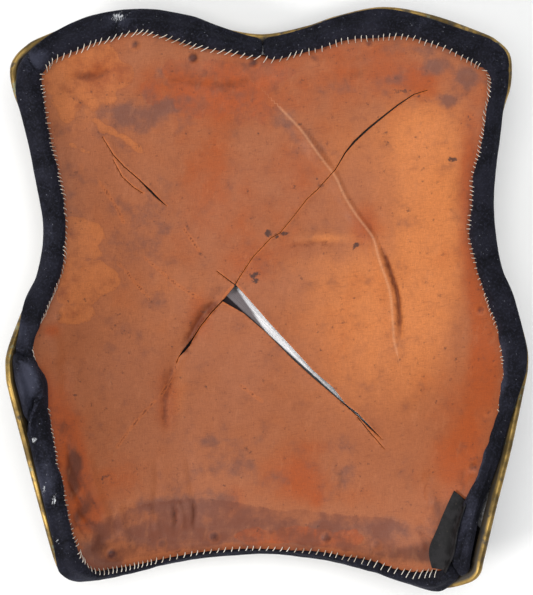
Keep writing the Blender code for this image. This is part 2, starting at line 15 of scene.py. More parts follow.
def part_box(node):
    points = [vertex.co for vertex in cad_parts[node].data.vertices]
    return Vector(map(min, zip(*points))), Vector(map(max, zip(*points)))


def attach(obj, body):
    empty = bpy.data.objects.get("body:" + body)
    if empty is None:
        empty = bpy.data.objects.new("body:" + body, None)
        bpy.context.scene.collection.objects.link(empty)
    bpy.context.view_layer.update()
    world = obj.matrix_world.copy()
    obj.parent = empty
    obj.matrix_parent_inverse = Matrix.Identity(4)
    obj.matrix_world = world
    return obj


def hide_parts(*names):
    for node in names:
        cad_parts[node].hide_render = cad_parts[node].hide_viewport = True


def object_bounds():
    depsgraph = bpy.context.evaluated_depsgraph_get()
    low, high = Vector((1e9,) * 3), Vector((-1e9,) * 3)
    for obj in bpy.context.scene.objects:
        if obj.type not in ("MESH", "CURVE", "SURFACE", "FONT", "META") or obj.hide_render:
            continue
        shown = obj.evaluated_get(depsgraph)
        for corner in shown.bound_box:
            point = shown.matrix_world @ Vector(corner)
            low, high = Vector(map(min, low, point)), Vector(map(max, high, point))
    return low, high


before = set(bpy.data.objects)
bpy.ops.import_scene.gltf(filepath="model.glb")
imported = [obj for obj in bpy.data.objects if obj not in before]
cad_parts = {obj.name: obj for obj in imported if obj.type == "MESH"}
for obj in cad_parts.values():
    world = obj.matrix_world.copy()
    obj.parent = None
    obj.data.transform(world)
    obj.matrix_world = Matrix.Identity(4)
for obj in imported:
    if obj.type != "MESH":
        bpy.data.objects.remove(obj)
cad_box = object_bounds()

# ---------------------------------------------------------------------------------------
# The studio. A plain pale floor and large soft lamps, with the camera straight above the
# hollow. The camera's sizes also say where in the picture a point of the piece is seen.
CAMERA_HEIGHT = 1.75
CAMERA_ACROSS = 0.0004
CAMERA_UP = -0.0020
CAMERA_TURN = 0.01316
SCALE_HEIGHT = 0.07
PIXEL_SIZE = 0.000702
PICTURE_SIZE = (533, 595)
SENSOR = 36.0


def picture_places(points):
    """Where in the picture, in pixels, the camera sees points of the piece."""
    nearer = (CAMERA_HEIGHT - SCALE_HEIGHT) / (CAMERA_HEIGHT - points[:, 2]) / PIXEL_SIZE
    x = (points[:, 0] - CAMERA_ACROSS) * nearer
    y = (points[:, 1] - CAMERA_UP) * nearer
    cos, sin = math.cos(CAMERA_TURN), math.sin(CAMERA_TURN)
    across = PICTURE_SIZE[0] / 2 + x * cos - y * sin
    down = PICTURE_SIZE[1] / 2 - (x * sin + y * cos)
    return np.stack([across, down], axis=1)


def add_lamp(name, place, size, power, tint):
    lamp = bpy.data.lights.new(name, "AREA")
    lamp.size = size
    lamp.energy = power
    lamp.color = tint
    holder = bpy.data.objects.new(name, lamp)
    bpy.context.scene.collection.objects.link(holder)
    holder.location = place
    holder.rotation_euler = (-Vector(place)).to_track_quat("-Z", "Y").to_euler()


camera_data = bpy.data.cameras.new("above")
camera_data.sensor_fit = "VERTICAL"
camera_data.sensor_height = SENSOR
camera_data.lens = SENSOR * (CAMERA_HEIGHT - SCALE_HEIGHT) / (PICTURE_SIZE[1] * PIXEL_SIZE)
camera = bpy.data.objects.new("above", camera_data)
camera.location = (CAMERA_ACROSS, CAMERA_UP, CAMERA_HEIGHT)
camera.rotation_euler = (0, 0, -CAMERA_TURN)
bpy.context.scene.collection.objects.link(camera)
bpy.context.scene.camera = camera
bpy.context.scene.view_settings.view_transform = "Standard"

add_lamp("overhead", (0.10, 0.35, 2.30), 2.2, 37, (1.0, 0.99, 0.97))
add_lamp("low_left", (-1.25, -0.75, 1.05), 0.5, 19, (1.0, 0.98, 0.95))
add_lamp("right_fill", (1.6, 0.6, 1.5), 1.6, 6, (0.96, 0.98, 1.0))
sky = bpy.data.worlds.new("studio")
sky.use_nodes = True
sky.node_tree.nodes["Background"].inputs["Color"].default_value = (0.93, 0.96, 1.0, 1)
sky.node_tree.nodes["Background"].inputs["Strength"].default_value = 0.36
bpy.context.scene.world = sky

bpy.ops.mesh.primitive_plane_add(size=9, location=(0, 0, cad_box[0][2]))
floor = bpy.context.object
floor.name = "floor"


def ink(red, green, blue):
    """A colour from its screen values, 0 to 255, as the shader wants it."""
    return tuple(((v / 255 + 0.055) / 1.055) ** 2.4 if v > 10 else v / 3295 for v in (red, green, blue)) + (1,)


def new_finish(name, colour, roughness, metallic=0.0):
    """A material with its one shader, and the tree in which its pattern is laid."""
    material = bpy.data.materials.new(name)
    material.use_nodes = True
    shader = material.node_tree.nodes["Principled BSDF"]
    shader.inputs["Base Color"].default_value = colour
    shader.inputs["Roughness"].default_value = roughness
    shader.inputs["Metallic"].default_value = metallic
    return material, material.node_tree, shader


def add_node(tree, kind, settings=(), **sockets):
    """One node: its settings, then its sockets, each given a value or linked to an output."""
    node = tree.nodes.new("ShaderNode" + kind)
    for name, value in dict(settings).items():
        setattr(node, name, value)
    for name, value in sockets.items():
        socket = node.inputs[int(name[1:])] if name[0] == "_" else node.inputs[name]
        if isinstance(value, bpy.types.NodeSocket):
            tree.links.new(value, socket)
        else:
            socket.default_value = value
    return node


def position(tree, length=(1, 1, 1), turn=0.0, start=(0, 0, 0)):
    """The place on the piece, for a pattern drawn out by lengths along axes turned from the piece's."""
    here = add_node(tree, "TexCoord").outputs["Object"]
    settings = {"vector_type": "TEXTURE"}
    return add_node(tree, "Mapping", settings, _0=here, _1=start, Rotation=(0, 0, turn), Scale=length).outputs[0]


def mottle(tree, where, scale, detail=3.0, roughness=0.55):
    """A cloudy pattern, about 0.25 to 0.75."""
    noise = add_node(tree, "TexNoise", Vector=where, Scale=scale, Detail=detail, Roughness=roughness)
    return noise.outputs[0]


def sum_of(tree, a, b, how="ADD"):
    return add_node(tree, "Math", {"operation": how}, _0=a, _1=b).outputs[0]


def ramp(tree, value, low, high, start=0.0, end=1.0):
    """Turns a value into start below low and end above high, eased between."""
    settings = {"interpolation_type": "SMOOTHSTEP"}
    return add_node(tree, "MapRange", settings, Value=value, _1=low, _2=high, _3=start, _4=end).outputs[0]


def over(tree, cover, under, top):
    """One colour laid over another, as far as it covers."""
    return add_node(tree, "Mix", {"data_type": "RGBA"}, _0=cover, _6=under, _7=top).outputs[2]


def stain(tree, under, value, low, high, most, tint):
    """A colour's screen values laid over another: none below low, the most above high."""
    return over(tree, ramp(tree, value, low, high, 0, most), under, ink(*tint))


def fading_stain(tree, under, value, low, high, most, tint):
    """The same, but the most below low and none above high."""
    return over(tree, ramp(tree, value, low, high, most, 0), under, ink(*tint))


def emboss(tree, shader, height, strength, depth):
    """Fine relief that the mesh doesn't carry."""
    relief = add_node(tree, "Bump", Strength=strength, Distance=depth, Height=height)
    tree.links.new(relief.outputs[0], shader.inputs["Normal"])


paper, tree, shader = new_finish("pale_floor", ink(246, 246, 245), 0.9)
grain = mottle(tree, position(tree), 3.0)
colour = over(tree, ramp(tree, grain, 0.3, 0.7), ink(252, 252, 251), ink(255, 255, 255))
tree.links.new(colour, shader.inputs["Base Color"])
floor.data.materials.append(paper)

# ---------------------------------------------------------------------------------------
# The steel plate. One sheet of mild steel, hammered over a form to the shape of the back
# and polished with long strokes, so that it shines in lines through the torn leather.
PLATE_WIDTH = 0.362
PLATE_HEIGHT = 0.412
PLATE_THICKNESS = 0.0014
PLATE_COLUMNS = 110
PLATE_ROWS = 120
TORSO_DEPTH = 0.125
NECK_RISE = 0.030
WAIST_RISE = 0.026
FLARE_DROP = 0.016
REST_FLAT_WIDTH = 0.032
REST_FLAT_LENGTH = 0.070
STEEPEST = 0.985
BALANCE_UP = 0.013
WAIST_UP = -0.80
CORNER_SHARE = 0.55
HALF_WIDTH = PLATE_WIDTH / 2
HALF_HEIGHT = PLATE_HEIGHT / 2
# The two halves of the plate's edge from the neck down, and half the torso's breadth:
# how far out and how far up, as shares of half the plate
EDGE_RIGHT = (
    (0.000, 0.917), (0.179, 0.943), (0.296, 0.974), (0.478, 1.000), (0.671, 0.966), (0.863, 0.897),
    (0.919, 0.866), (0.954, 0.831), (0.964, 0.787), (0.958, 0.714), (0.926, 0.614), (0.892, 0.408),
    (0.887, 0.249), (0.912, 0.090), (0.956, -0.013), (0.996, -0.164), (1.000, -0.241), (0.985, -0.313),
    (0.931, -0.516), (0.870, -0.720), (0.825, -0.892), (0.810, -0.947), (0.771, -0.977), (0.679, -1.000),
    (0.583, -0.982), (0.466, -0.947), (0.346, -0.919), (0.226, -0.897), (0.000, -0.874),
)
EDGE_LEFT = (
    (0.000, 0.917), (0.179, 0.943), (0.296, 0.974), (0.478, 0.995), (0.671, 0.970), (0.863, 0.904),
    (0.925, 0.870), (0.965, 0.831), (0.979, 0.787), (0.966, 0.714), (0.928, 0.614), (0.883, 0.408),
    (0.857, 0.249), (0.882, 0.090), (0.935, -0.013), (0.994, -0.164), (1.000, -0.241), (0.987, -0.313),
    (0.928, -0.516), (0.870, -0.720), (0.824, -0.882), (0.802, -0.918), (0.755, -0.938), (0.679, -0.937),
    (0.583, -0.927), (0.466, -0.907), (0.346, -0.890), (0.226, -0.880), (0.000, -0.874),
)
SHOULDER_CORNER_ROW = 7
WAIST_CORNER_ROW = 21
SAMPLES_PER_ROW = 8
BREADTH_ROWS = ((-1.0, 1.035), (-0.6, 1.045), (-0.2, 1.080), (0.2, 1.105), (0.6, 1.217), (1.0, 1.338))


def eased(share):
    share = np.clip(share, 0.0, 1.0)
    return share * share * (3 - 2 * share)


def from_rows(rows, place, column=1):
    """The values of a table's column at places, eased from row to row."""
    table = np.array(rows, dtype=float)
    after = np.clip(np.searchsorted(table[:, 0], place), 1, len(table) - 1)
    low, high = table[after - 1], table[after]
    share = eased((place - low[..., 0]) / (high[..., 0] - low[..., 0]))
    return low[..., column] + (high[..., column] - low[..., column]) * share


def form_height(x, y):
    """How high the plate's outer face is above the floor."""
    flat = REST_FLAT_WIDTH / 2
    breadth = from_rows(BREADTH_ROWS, y / HALF_HEIGHT + BALANCE_UP) * HALF_WIDTH
    across = np.clip((np.abs(x) - flat) / (breadth - flat), 0, STEEPEST)
    height = TORSO_DEPTH * (1 - np.sqrt(1 - across * across))
    off_flat = np.maximum(0, np.abs(y) - REST_FLAT_LENGTH / 2)
    reach = (1 - BALANCE_UP) * HALF_HEIGHT - REST_FLAT_LENGTH / 2
    waist = (BALANCE_UP - WAIST_UP) * HALF_HEIGHT - REST_FLAT_LENGTH / 2
    past_waist = np.maximum(0, off_flat - waist) / ((1 + WAIST_UP) * HALF_HEIGHT)
    narrowing = 1 - np.minimum(np.abs(x) / HALF_WIDTH, 1) ** 2
    to_waist = WAIST_RISE * eased(off_flat / waist) - FLARE_DROP * past_waist**2 * narrowing
    return height + np.where(y >= 0, NECK_RISE * (off_flat / reach) ** 2, to_waist)


def unit(vectors):
    return vectors / np.maximum(np.linalg.norm(vectors, axis=-1, keepdims=True), 1e-12)


def form_normal(plan):
    """The directions into the hollow, square to the plate."""
    x, y, step = plan[:, 0], plan[:, 1], 0.0005
    slope_x = (form_height(x + step, y) - form_height(x - step, y)) / (2 * step)
    slope_y = (form_height(x, y + step) - form_height(x, y - step)) / (2 * step)
    return unit(np.stack([-slope_x, -slope_y, np.ones(len(plan))], axis=1))


def above_form(plan, height):
    """Points a height into the hollow from the plate's outer face."""
    points = np.column_stack([plan, form_height(plan[:, 0], plan[:, 1])])
    return points + form_normal(plan) * np.reshape(height, (-1, 1))


def smooth_loop(points, samples):
    """A closed smooth curve through plan points, its first point repeated at the end."""
    before, after, far = (np.roll(points, k, axis=0) for k in (1, -1, -2))
    t = np.arange(samples).reshape(1, -1, 1) / samples
    before, here, after, far = (p[:, None, :] for p in (before, points, after, far))
    curve = 0.5 * (
        2 * here
        + (after - before) * t
        + (2 * before - 5 * here + 4 * after - far) * t**2
        + (3 * here - 3 * after + far - before) * t**3
    )
    curve = curve.reshape(-1, points.shape[1])
    return np.vstack([curve, curve[:1]])


def lengths_along(line):
    return np.concatenate([[0], np.cumsum(np.linalg.norm(np.diff(line, axis=0), axis=1))])


rows = [(a, b) for a, b in EDGE_RIGHT] + [(-a, b) for a, b in EDGE_LEFT[-2:0:-1]]
edge_plan = np.array([(a * HALF_WIDTH, (b - BALANCE_UP) * HALF_HEIGHT) for a, b in rows])
edge_plan = smooth_loop(edge_plan, SAMPLES_PER_ROW)
edge_marks = lengths_along(edge_plan)
edge_length = edge_marks[-1]
last_row = len(EDGE_RIGHT) - 1
corner_rows = (
    2 * last_row - SHOULDER_CORNER_ROW,
    SHOULDER_CORNER_ROW,
    WAIST_CORNER_ROW,
    2 * last_row - WAIST_CORNER_ROW,
)
corner_shares = [edge_marks[row * SAMPLES_PER_ROW] / edge_length for row in corner_rows]


def along_edge(share):
    """The plate's edge in plan at shares of its length, clockwise from the neck."""
    mark = np.asarray(share) % 1.0 * edge_length
    return np.stack([np.interp(mark, edge_marks, edge_plan[:, k]) for k in (0, 1)], axis=-1)


def patch_plan(rim, u, v):
    """Plan points of a patch that fills a rim, u across and v up, both from 0 to 1."""
    left_shoulder, right_shoulder, right_waist, left_waist = corner_shares
    top = rim(left_shoulder - 1 + (right_shoulder - left_shoulder + 1) * u)
    right = rim(right_waist + (right_shoulder - right_waist) * v)
    bottom = rim(left_waist + (right_waist - left_waist) * u)
    left = rim(left_waist + (left_shoulder - left_waist) * v)
    top_left, top_right, bottom_right, bottom_left = rim(np.array(corner_shares))
    u, v = u[:, None], v[:, None]
    corners = (bottom_left * (1 - u) + bottom_right * u) * (1 - v) + (top_left * (1 - u) + top_right * u) * v
    return bottom * (1 - v) + top * v + left * (1 - u) + right * u - corners


def add_grid(name, columns, rows, place):
    """A grid laid flat, then each of its points moved to place(u, v)."""
    bpy.ops.object.select_all(action="DESELECT")
    bpy.ops.mesh.primitive_grid_add(x_subdivisions=columns, y_subdivisions=rows, size=1)
    grid = bpy.context.object
    grid.name = grid.data.name = name
    flat = np.zeros(len(grid.data.vertices) * 3)
    grid.data.vertices.foreach_get("co", flat)
    flat = flat.reshape(-1, 3) + 0.5
    grid.data.vertices.foreach_set("co", place(flat[:, 0], flat[:, 1]).ravel())
    grid.data.shade_smooth()
    return grid


def apply_modifier(piece, kind, **settings):
    """Adds a modifier and applies it, with the piece alone selected."""
    bpy.ops.object.select_all(action="DESELECT")
    bpy.context.view_layer.objects.active = piece
    piece.select_set(True)
    modifier = piece.modifiers.new(kind.lower(), kind)
    for name, value in settings.items():
        setattr(modifier, name, value)
    bpy.ops.object.modifier_apply(modifier=modifier.name)


def plate_place(u, v):
    closer = lambda share: share - CORNER_SHARE * np.sin(2 * np.pi * share) / (2 * np.pi)
    return above_form(patch_plan(along_edge, closer(u), closer(v)), np.zeros(len(u)))


def seen_points(piece):
    """Where in the picture the camera sees each of a piece's points."""
    points = np.zeros(len(piece.data.vertices) * 3)
    piece.data.vertices.foreach_get("co", points)
    return picture_places(points.reshape(-1, 3))


def add_mask(piece, name, values):
    """A value for each of a piece's points, which its material can read by name."""
    mask = piece.data.attributes.new(name, "FLOAT", "POINT")
    mask.data.foreach_set("value", np.asarray(values, dtype=np.float32))


def mask_of(tree, name):
    return add_node(tree, "Attribute", {"attribute_name": name}).outputs["Fac"]


plate = add_grid("plate", PLATE_COLUMNS, PLATE_ROWS, plate_place)
apply_modifier(plate, "SOLIDIFY", thickness=PLATE_THICKNESS, offset=1)

STROKES_TURN = math.radians(-47)
# Where the two bands of painted shade on the steel start, and which way each runs
LIP_START, LIP_TURN = (0.0168, -0.0445, 0), math.radians(227)
SHADED_START, SHADED_TURN = (-0.0212, 0.0062, 0), math.radians(213)
steel, tree, shader = new_finish("brushed_steel", ink(190, 189, 190), 0.38, 1.0)
strokes = mottle(tree, position(tree, (1.0, 0.03, 0.05), STROKES_TURN), 40, 6, 0.75)
cloud = mottle(tree, position(tree), 22, 3)
colour = over(tree, ramp(tree, strokes, 0.38, 0.62), ink(158, 157, 160), ink(226, 225, 226))
rust = ramp(tree, mottle(tree, position(tree), 55, 5), 0.62, 0.72, 0, 0.4)
colour = over(tree, rust, colour, ink(112, 96, 86))
# Painted shade on the steel: brown-grey on one side of where the tear is widest, and near black
# past the tear's lower lip. Both tones run on, unseen from above, over the rest of the plate
past = add_node(tree, "SeparateXYZ", _0=position(tree, (1, 1, 1), SHADED_TURN, SHADED_START)).outputs[0]
past = sum_of(tree, past, sum_of(tree, sum_of(tree, strokes, 0.5, "SUBTRACT"), 0.008, "MULTIPLY"))
colour = stain(tree, colour, past, -0.0004, 0.0014, 0.9, (66, 56, 58))
past = add_node(tree, "SeparateXYZ", _0=position(tree, (1, 1, 1), LIP_TURN, LIP_START)).outputs[0]
past = sum_of(tree, past, sum_of(tree, sum_of(tree, strokes, 0.5, "SUBTRACT"), 0.002, "MULTIPLY"))
colour = stain(tree, colour, past, -0.0016, -0.0006, 0.95, (24, 20, 22))
# Painted shade under the narrow tears, where the lining's section puts the mask
slit = ramp(tree, mask_of(tree, "slit"), 0.1, 0.9, 0, 0.97)
colour = over(tree, slit, colour, ink(20, 15, 14))
tree.links.new(colour, shader.inputs["Base Color"])
tree.links.new(ramp(tree, slit, 0.0, 1.0, 1.0, 0.1), shader.inputs["Metallic"])
tree.links.new(ramp(tree, strokes, 0.3, 0.7, 0.34, 0.48), shader.inputs["Roughness"])
emboss(tree, shader, strokes, 0.25, 0.0002)
plate.data.materials.append(steel)
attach(plate, "root")
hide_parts("steel_plate")

# ---------------------------------------------------------------------------------------
# The brass binding. A strip of soft brass folded over the steel's edge all the way round
# and burnished down, now dull brown with green in its corners and bright where it rubs.
BINDING_OUTSIDE = 0.0075
BINDING_INSIDE = 0.0060
BINDING_THICKNESS = 0.0008
BINDING_BEAD = 0.0012
BENT_CLEARANCE = 0.0006
BINDING_BEAD_STEPS = 9
BINDING_EASING = 0.4
BINDING_LIPS = (0.0006, 0.0005)
BINDING_HALFWAY = 0.003
BINDING_STATIONS = 560
# Where the painted shade on the strip inside the edge starts, and how far it takes to come in full
ROLL_SHADE_START = 0.0006
ROLL_SHADE_WIDTH = 0.0020


def edge_frame(share):
    """The edge's points, the directions outwards along the plate, and those into the hollow."""
    step = 0.002
    here, ahead, behind = along_edge(share), along_edge(share + step), along_edge(share - step)
    along = above_form(ahead, np.zeros(len(share))) - above_form(behind, np.zeros(len(share)))
    inward = form_normal(here)
    return above_form(here, np.zeros(len(share))), unit(np.cross(inward, along)), inward


def add_body(name, points, faces):
    """A smooth piece from points and faces, with every face turned outwards."""
    mesh = bpy.data.meshes.new(name)
    mesh.from_pydata(points, [], faces)
    shape = bmesh.new()
    shape.from_mesh(mesh)
    bmesh.ops.recalc_face_normals(shape, faces=shape.faces)
    shape.to_mesh(mesh)
    shape.free()
    mesh.shade_smooth()
    piece = bpy.data.objects.new(name, mesh)
    bpy.context.scene.collection.objects.link(piece)
    return piece


def loft(name, rings, closed):
    """A body through rings of points, rings x points x 3: a hoop, or a bar with capped ends."""
    count, sides = rings.shape[:2]
    faces = []
    for k in range(count if closed else count - 1):
        a, b = k * sides, (k + 1) % count * sides
        faces += [(a + j, a + (j + 1) % sides, b + (j + 1) % sides, b + j) for j in range(sides)]
    if not closed:
        faces += [tuple(range(sides)), tuple((count - 1) * sides + j for j in range(sides))]
    return add_body(name, rings.reshape(-1, 3).tolist(), faces)


inner, outer = PLATE_THICKNESS + BENT_CLEARANCE, -BENT_CLEARANCE
middle = PLATE_THICKNESS / 2
# The strip's section: how far out from the edge, and how high above the plate's outer face
section = [
    (-BINDING_OUTSIDE, outer - BINDING_EASING * BINDING_THICKNESS),
    (-BINDING_OUTSIDE + BINDING_LIPS[0], outer - BINDING_THICKNESS),
    (-BINDING_HALFWAY, outer - BINDING_THICKNESS),
]
for turn in np.linspace(-math.pi / 2, math.pi / 2, BINDING_BEAD_STEPS):
    rise = (inner + BINDING_THICKNESS - middle) * math.sin(turn)
    section.append((BENT_CLEARANCE + BINDING_BEAD * math.cos(turn), middle + rise))
section += [
    (-BINDING_HALFWAY, inner + BINDING_THICKNESS),
    (-BINDING_INSIDE + BINDING_LIPS[1], inner + BINDING_THICKNESS),
    (-BINDING_INSIDE, inner + BINDING_EASING * BINDING_THICKNESS),
    (-BINDING_INSIDE, inner),
    (-BINDING_HALFWAY, inner),
    (BENT_CLEARANCE, inner),
    (BENT_CLEARANCE, outer),
    (-BINDING_HALFWAY, outer),
    (-BINDING_OUTSIDE, outer),
]
section = np.array(section)
shares = np.arange(BINDING_STATIONS) / BINDING_STATIONS
point, outward, inward = edge_frame(shares)
rings = point[:, None] + outward[:, None] * section[None, :, :1] + inward[:, None] * section[None, :, 1:]
binding = loft("binding", rings, closed=True)
# Painted shade on the strip inside the edge, under the roll
under_roll_shade = np.clip((-section[:, 0] + ROLL_SHADE_START) / ROLL_SHADE_WIDTH, 0, 1)
add_mask(binding, "under_roll_shade", np.tile(under_roll_shade, BINDING_STATIONS))

brass, tree, shader = new_finish("aged_brass", ink(132, 106, 60), 0.5, 1.0)
wear = mottle(tree, position(tree), 60, 5)
colour = over(tree, ramp(tree, wear, 0.38, 0.62), ink(104, 86, 52), ink(168, 138, 78))
green = ramp(tree, mottle(tree, position(tree), 95, 4), 0.60, 0.66, 0, 0.6)
colour = over(tree, green, colour, ink(104, 122, 108))
dirt = ramp(tree, mottle(tree, position(tree), 140, 4), 0.54, 0.68, 0, 0.85)
colour = over(tree, dirt, colour, ink(50, 43, 34))
# Painted shade on the strip inside the edge, where the roll lies over it, broken up by the wear pattern
uneven = sum_of(tree, sum_of(tree, wear, 0.5, "SUBTRACT"), 1.2, "MULTIPLY")
roll_shade = sum_of(tree, mask_of(tree, "under_roll_shade"), uneven)
roll_shade = ramp(tree, roll_shade, 0.2, 0.8, 0, 0.92)
colour = over(tree, roll_shade, colour, ink(30, 26, 24))
tree.links.new(colour, shader.inputs["Base Color"])
dulled = sum_of(tree, green, sum_of(tree, dirt, roll_shade))
tree.links.new(ramp(tree, dulled, 0.0, 0.8, 0.9, 0.2), shader.inputs["Metallic"])
tree.links.new(ramp(tree, wear, 0.3, 0.7, 0.58, 0.44), shader.inputs["Roughness"])
emboss(tree, shader, wear, 0.4, 0.0004)
binding.data.materials.append(brass)
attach(binding, "root")
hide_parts("brass_binding")

# ---------------------------------------------------------------------------------------
# The rivets. Turned brass, each set through the plate from outside: a domed head under the
# plate, a shank through it, and an end spread with a punch that presses up the leather.
RIVET_HEAD_RADIUS = 0.0046
RIVET_HEAD_HEIGHT = 0.0026
RIVET_SHANK_RADIUS = 0.0015
RIVET_BURR_RADIUS = 0.0022
RIVET_BURR_HEIGHT = 0.0010
RIVET_COUNT = 32
RIVET_SIDES = 24
RIVET_RIM = 0.0006
DOME_STEPS = 7


def grow_ring(shape, way, radius, height):
    """Extrudes the rivet's end face, up or down, to a ring of a radius at a height."""
    for face in shape.faces:
        face.select_set(face.normal.z * way > 0.9 and len(face.verts) > 4)
    bmesh.update_edit_mesh(rivet.data)
    bpy.ops.mesh.extrude_region_move()
    shape = bmesh.from_edit_mesh(rivet.data)
    for v in [v for v in shape.verts if v.select]:
        flat = Vector((v.co.x, v.co.y)).normalized() * radius
        v.co = (flat.x, flat.y, height)
    return shape


bpy.ops.object.select_all(action="DESELECT")
bpy.ops.mesh.primitive_cylinder_add(
    vertices=RIVET_SIDES, radius=RIVET_HEAD_RADIUS, depth=RIVET_RIM, location=(0, 0, RIVET_RIM / 2)
)
rivet = bpy.context.object
bpy.ops.object.mode_set(mode="EDIT")
shape = bmesh.from_edit_mesh(rivet.data)
for angle in np.arange(1, DOME_STEPS) / DOME_STEPS * math.pi / 2:
    rise = RIVET_RIM + (RIVET_HEAD_HEIGHT - RIVET_RIM) * math.sin(angle)
    shape = grow_ring(shape, 1, RIVET_HEAD_RADIUS * math.cos(angle), rise)
# The shank and its spread end grow out of the head's flat face
inside = -PLATE_THICKNESS - 2 * BENT_CLEARANCE
for radius, height in (
    (RIVET_SHANK_RADIUS, 0.0),
    (RIVET_SHANK_RADIUS, inside),
    (RIVET_BURR_RADIUS, inside),
    (RIVET_BURR_RADIUS, inside - 0.5 * RIVET_BURR_HEIGHT),
    (0.5 * RIVET_BURR_RADIUS, inside - RIVET_BURR_HEIGHT),
):
    shape = grow_ring(shape, -1, radius, height)
bmesh.update_edit_mesh(rivet.data)
bpy.ops.object.mode_set(mode="OBJECT")
rivet.data.shade_smooth()
length = RIVET_HEAD_HEIGHT + 3 * BENT_CLEARANCE + PLATE_THICKNESS + RIVET_BURR_HEIGHT
for number in range(RIVET_COUNT):
    low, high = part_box(f"rivet_{number:02d}")
    plan = np.array([[(low[0] + high[0]) / 2, (low[1] + high[1]) / 2]])
    outward = Vector(-form_normal(plan)[0])
    middle = Vector([(a + b) / 2 for a, b in zip(low, high)])
    foot = middle + outward * (length / 2 - RIVET_HEAD_HEIGHT)
    piece = bpy.data.objects.new(f"stud_{number:02d}", rivet.data.copy())
    bpy.context.scene.collection.objects.link(piece)
    piece.data.transform(Matrix.Translation(foot) @ outward.to_track_quat("Z", "Y").to_matrix().to_4x4())
    piece.data.materials.append(brass)
    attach(piece, "root")
    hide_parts(f"rivet_{number:02d}")
bpy.data.objects.remove(rivet)

# ---------------------------------------------------------------------------------------
# The padded roll. A strip of dark suede folded over a soft core and sewn to the leather's
# edge, in two lengths that meet at the neck and at the lower right, lying on the brass.
ROLL_WIDTH = 0.0160
ROLL_HEIGHT = 0.0100
ROLL_OVERHANG = 0.0025
ROLL_CORNER = 0.29
ROLL_TAIL_REACH = 0.0050
ROLL_TAIL_THICKNESS = 0.0014
ROLL_THIN_FROM = 0.4
ROLL_CLEARANCE = 0.0008
ROLL_JOINT = 0.40
ROLL_JOINT_GAP = 0.0005
ROLL_END_LENGTH = 0.0055
ROLL_ROUNDING = 3
ROLL_STEP = 0.0016
SEAM_HEIGHT = 0.0070
SEAM_STATIONS = 1400
SEAM_LEAST = 0.0012
SEAM_MOST_OFF = 0.0150
SEAM_EASE = 5
# The roll on each side, by share of the way from the neck to the small of the back: place,
# width, height, overhang and how far its tail is wrapped round the edge. The three sizes are
# shares of the roll's own
ROLL_RIGHT = (
    (0.00, 1.10, 1.00, -0.6, 0.25), (0.08, 1.15, 1.00, -0.5, 0.40), (0.20, 1.05, 1.00, -0.7, 0.22),
    (0.28, 0.90, 0.95, -0.2, 0.32), (0.36, 0.70, 0.90, 1.2, 0.65), (0.46, 0.85, 1.00, 1.0, 0.80),
    (0.56, 0.95, 1.05, 1.0, 0.60), (0.66, 0.90, 1.00, -0.6, 0.00), (0.74, 0.95, 0.95, -2.1, 0.00),
    (0.80, 0.95, 0.90, -1.9, 0.05), (0.84, 0.80, 0.75, 0.2, 0.70), (0.90, 0.70, 0.60, 0.6, 0.65),
    (0.95, 0.45, 0.45, 0.0, 0.55), (1.00, 0.30, 0.36, -0.2, 0.50),
)
ROLL_LEFT = (
    (0.00, 1.10, 1.00, -0.6, 0.25), (0.08, 1.10, 1.05, 0.6, 0.65), (0.17, 1.00, 1.00, 0.6, 0.70),
    (0.26, 1.00, 0.95, -0.6, 0.00), (0.33, 0.90, 1.00, 0.6, 0.65), (0.42, 0.85, 1.00, 0.8, 0.80),
    (0.50, 0.95, 1.05, 0.9, 0.85), (0.56, 1.00, 1.10, -0.3, 0.15), (0.62, 1.00, 1.05, -0.5, 0.10),
    (0.68, 1.15, 1.10, -0.2, 0.20), (0.75, 1.15, 1.00, -0.05, 0.25), (0.81, 0.90, 0.80, 0.4, 0.80),
    (0.87, 0.60, 0.55, 0.4, 0.70), (0.93, 0.38, 0.42, 0.0, 0.60), (1.00, 0.30, 0.36, -0.2, 0.50),
)
# Where the picture shows the leather's edge, clockwise from the top left corner
SEAM_SEEN = (
    (39.6, 74.4), (51.7, 59.4), (65, 53), (76, 50), (94, 41), (110, 38.7), (124, 32), (144, 30.6),
    (158, 34), (172, 38), (195, 45.6), (224, 50), (239, 53.4), (253, 56), (269, 59), (282, 57.5),
    (297, 53), (312, 49.6), (326, 45.6), (339, 41), (350, 38), (371, 37), (398, 34.8), (411.5, 36),
    (424, 40), (438, 44.4), (450, 48.7), (460, 54), (472, 61), (485, 68), (494, 74), (492, 84),
    (491, 97.5), (489, 108), (487, 122), (485, 136), (482, 148), (479, 160), (476, 172), (474, 185),
    (474.5, 208), (472, 221), (471.7, 236), (474.5, 247), (476.6, 258.6), (479.4, 270), (483, 277),
    (486, 287), (490, 299), (493.5, 309), (498, 320), (502, 329), (505, 338.5), (505.4, 348), (507, 361),
    (509, 372), (508, 383), (507, 393), (504.6, 402), (503, 415), (499, 430), (493, 446), (486, 467),
    (482, 479), (473, 491), (465, 504), (461, 520), (456, 545), (449.8, 566), (442, 572), (429, 572),
    (417, 574), (403, 571.5), (392, 570.6), (382, 565), (371, 562), (359, 559), (345, 558), (330, 554),
    (316, 552), (295, 551.5), (270, 549.7), (246, 549.6), (229, 550.5), (210, 552), (195, 554), (177, 558),
    (164, 560), (151.5, 563), (134, 567), (120.5, 569), (107, 571), (94.7, 573.7), (89.5, 570),
    (82.7, 562.5), (76, 550.5), (70.6, 537), (66, 523), (63, 504), (59, 483), (52.5, 466), (51.7, 454),
    (49, 438.6), (46.5, 425), (44, 412), (45.6, 400), (45, 389), (41, 376), (33, 366), (27, 356),
    (26.5, 346), (29, 336), (34, 326), (41, 315), (45.6, 303.5), (50.5, 292), (55, 281), (59, 270),
    (61.7, 259), (62.4, 247), (62.4, 236), (63, 221), (61.7, 208), (61.7, 194), (58, 183), (56, 172),
    (53, 160), (50, 146), (47, 131), (44, 117), (42, 103), (40.5, 86),
)
FOLD_BOLDNESS = 1.35
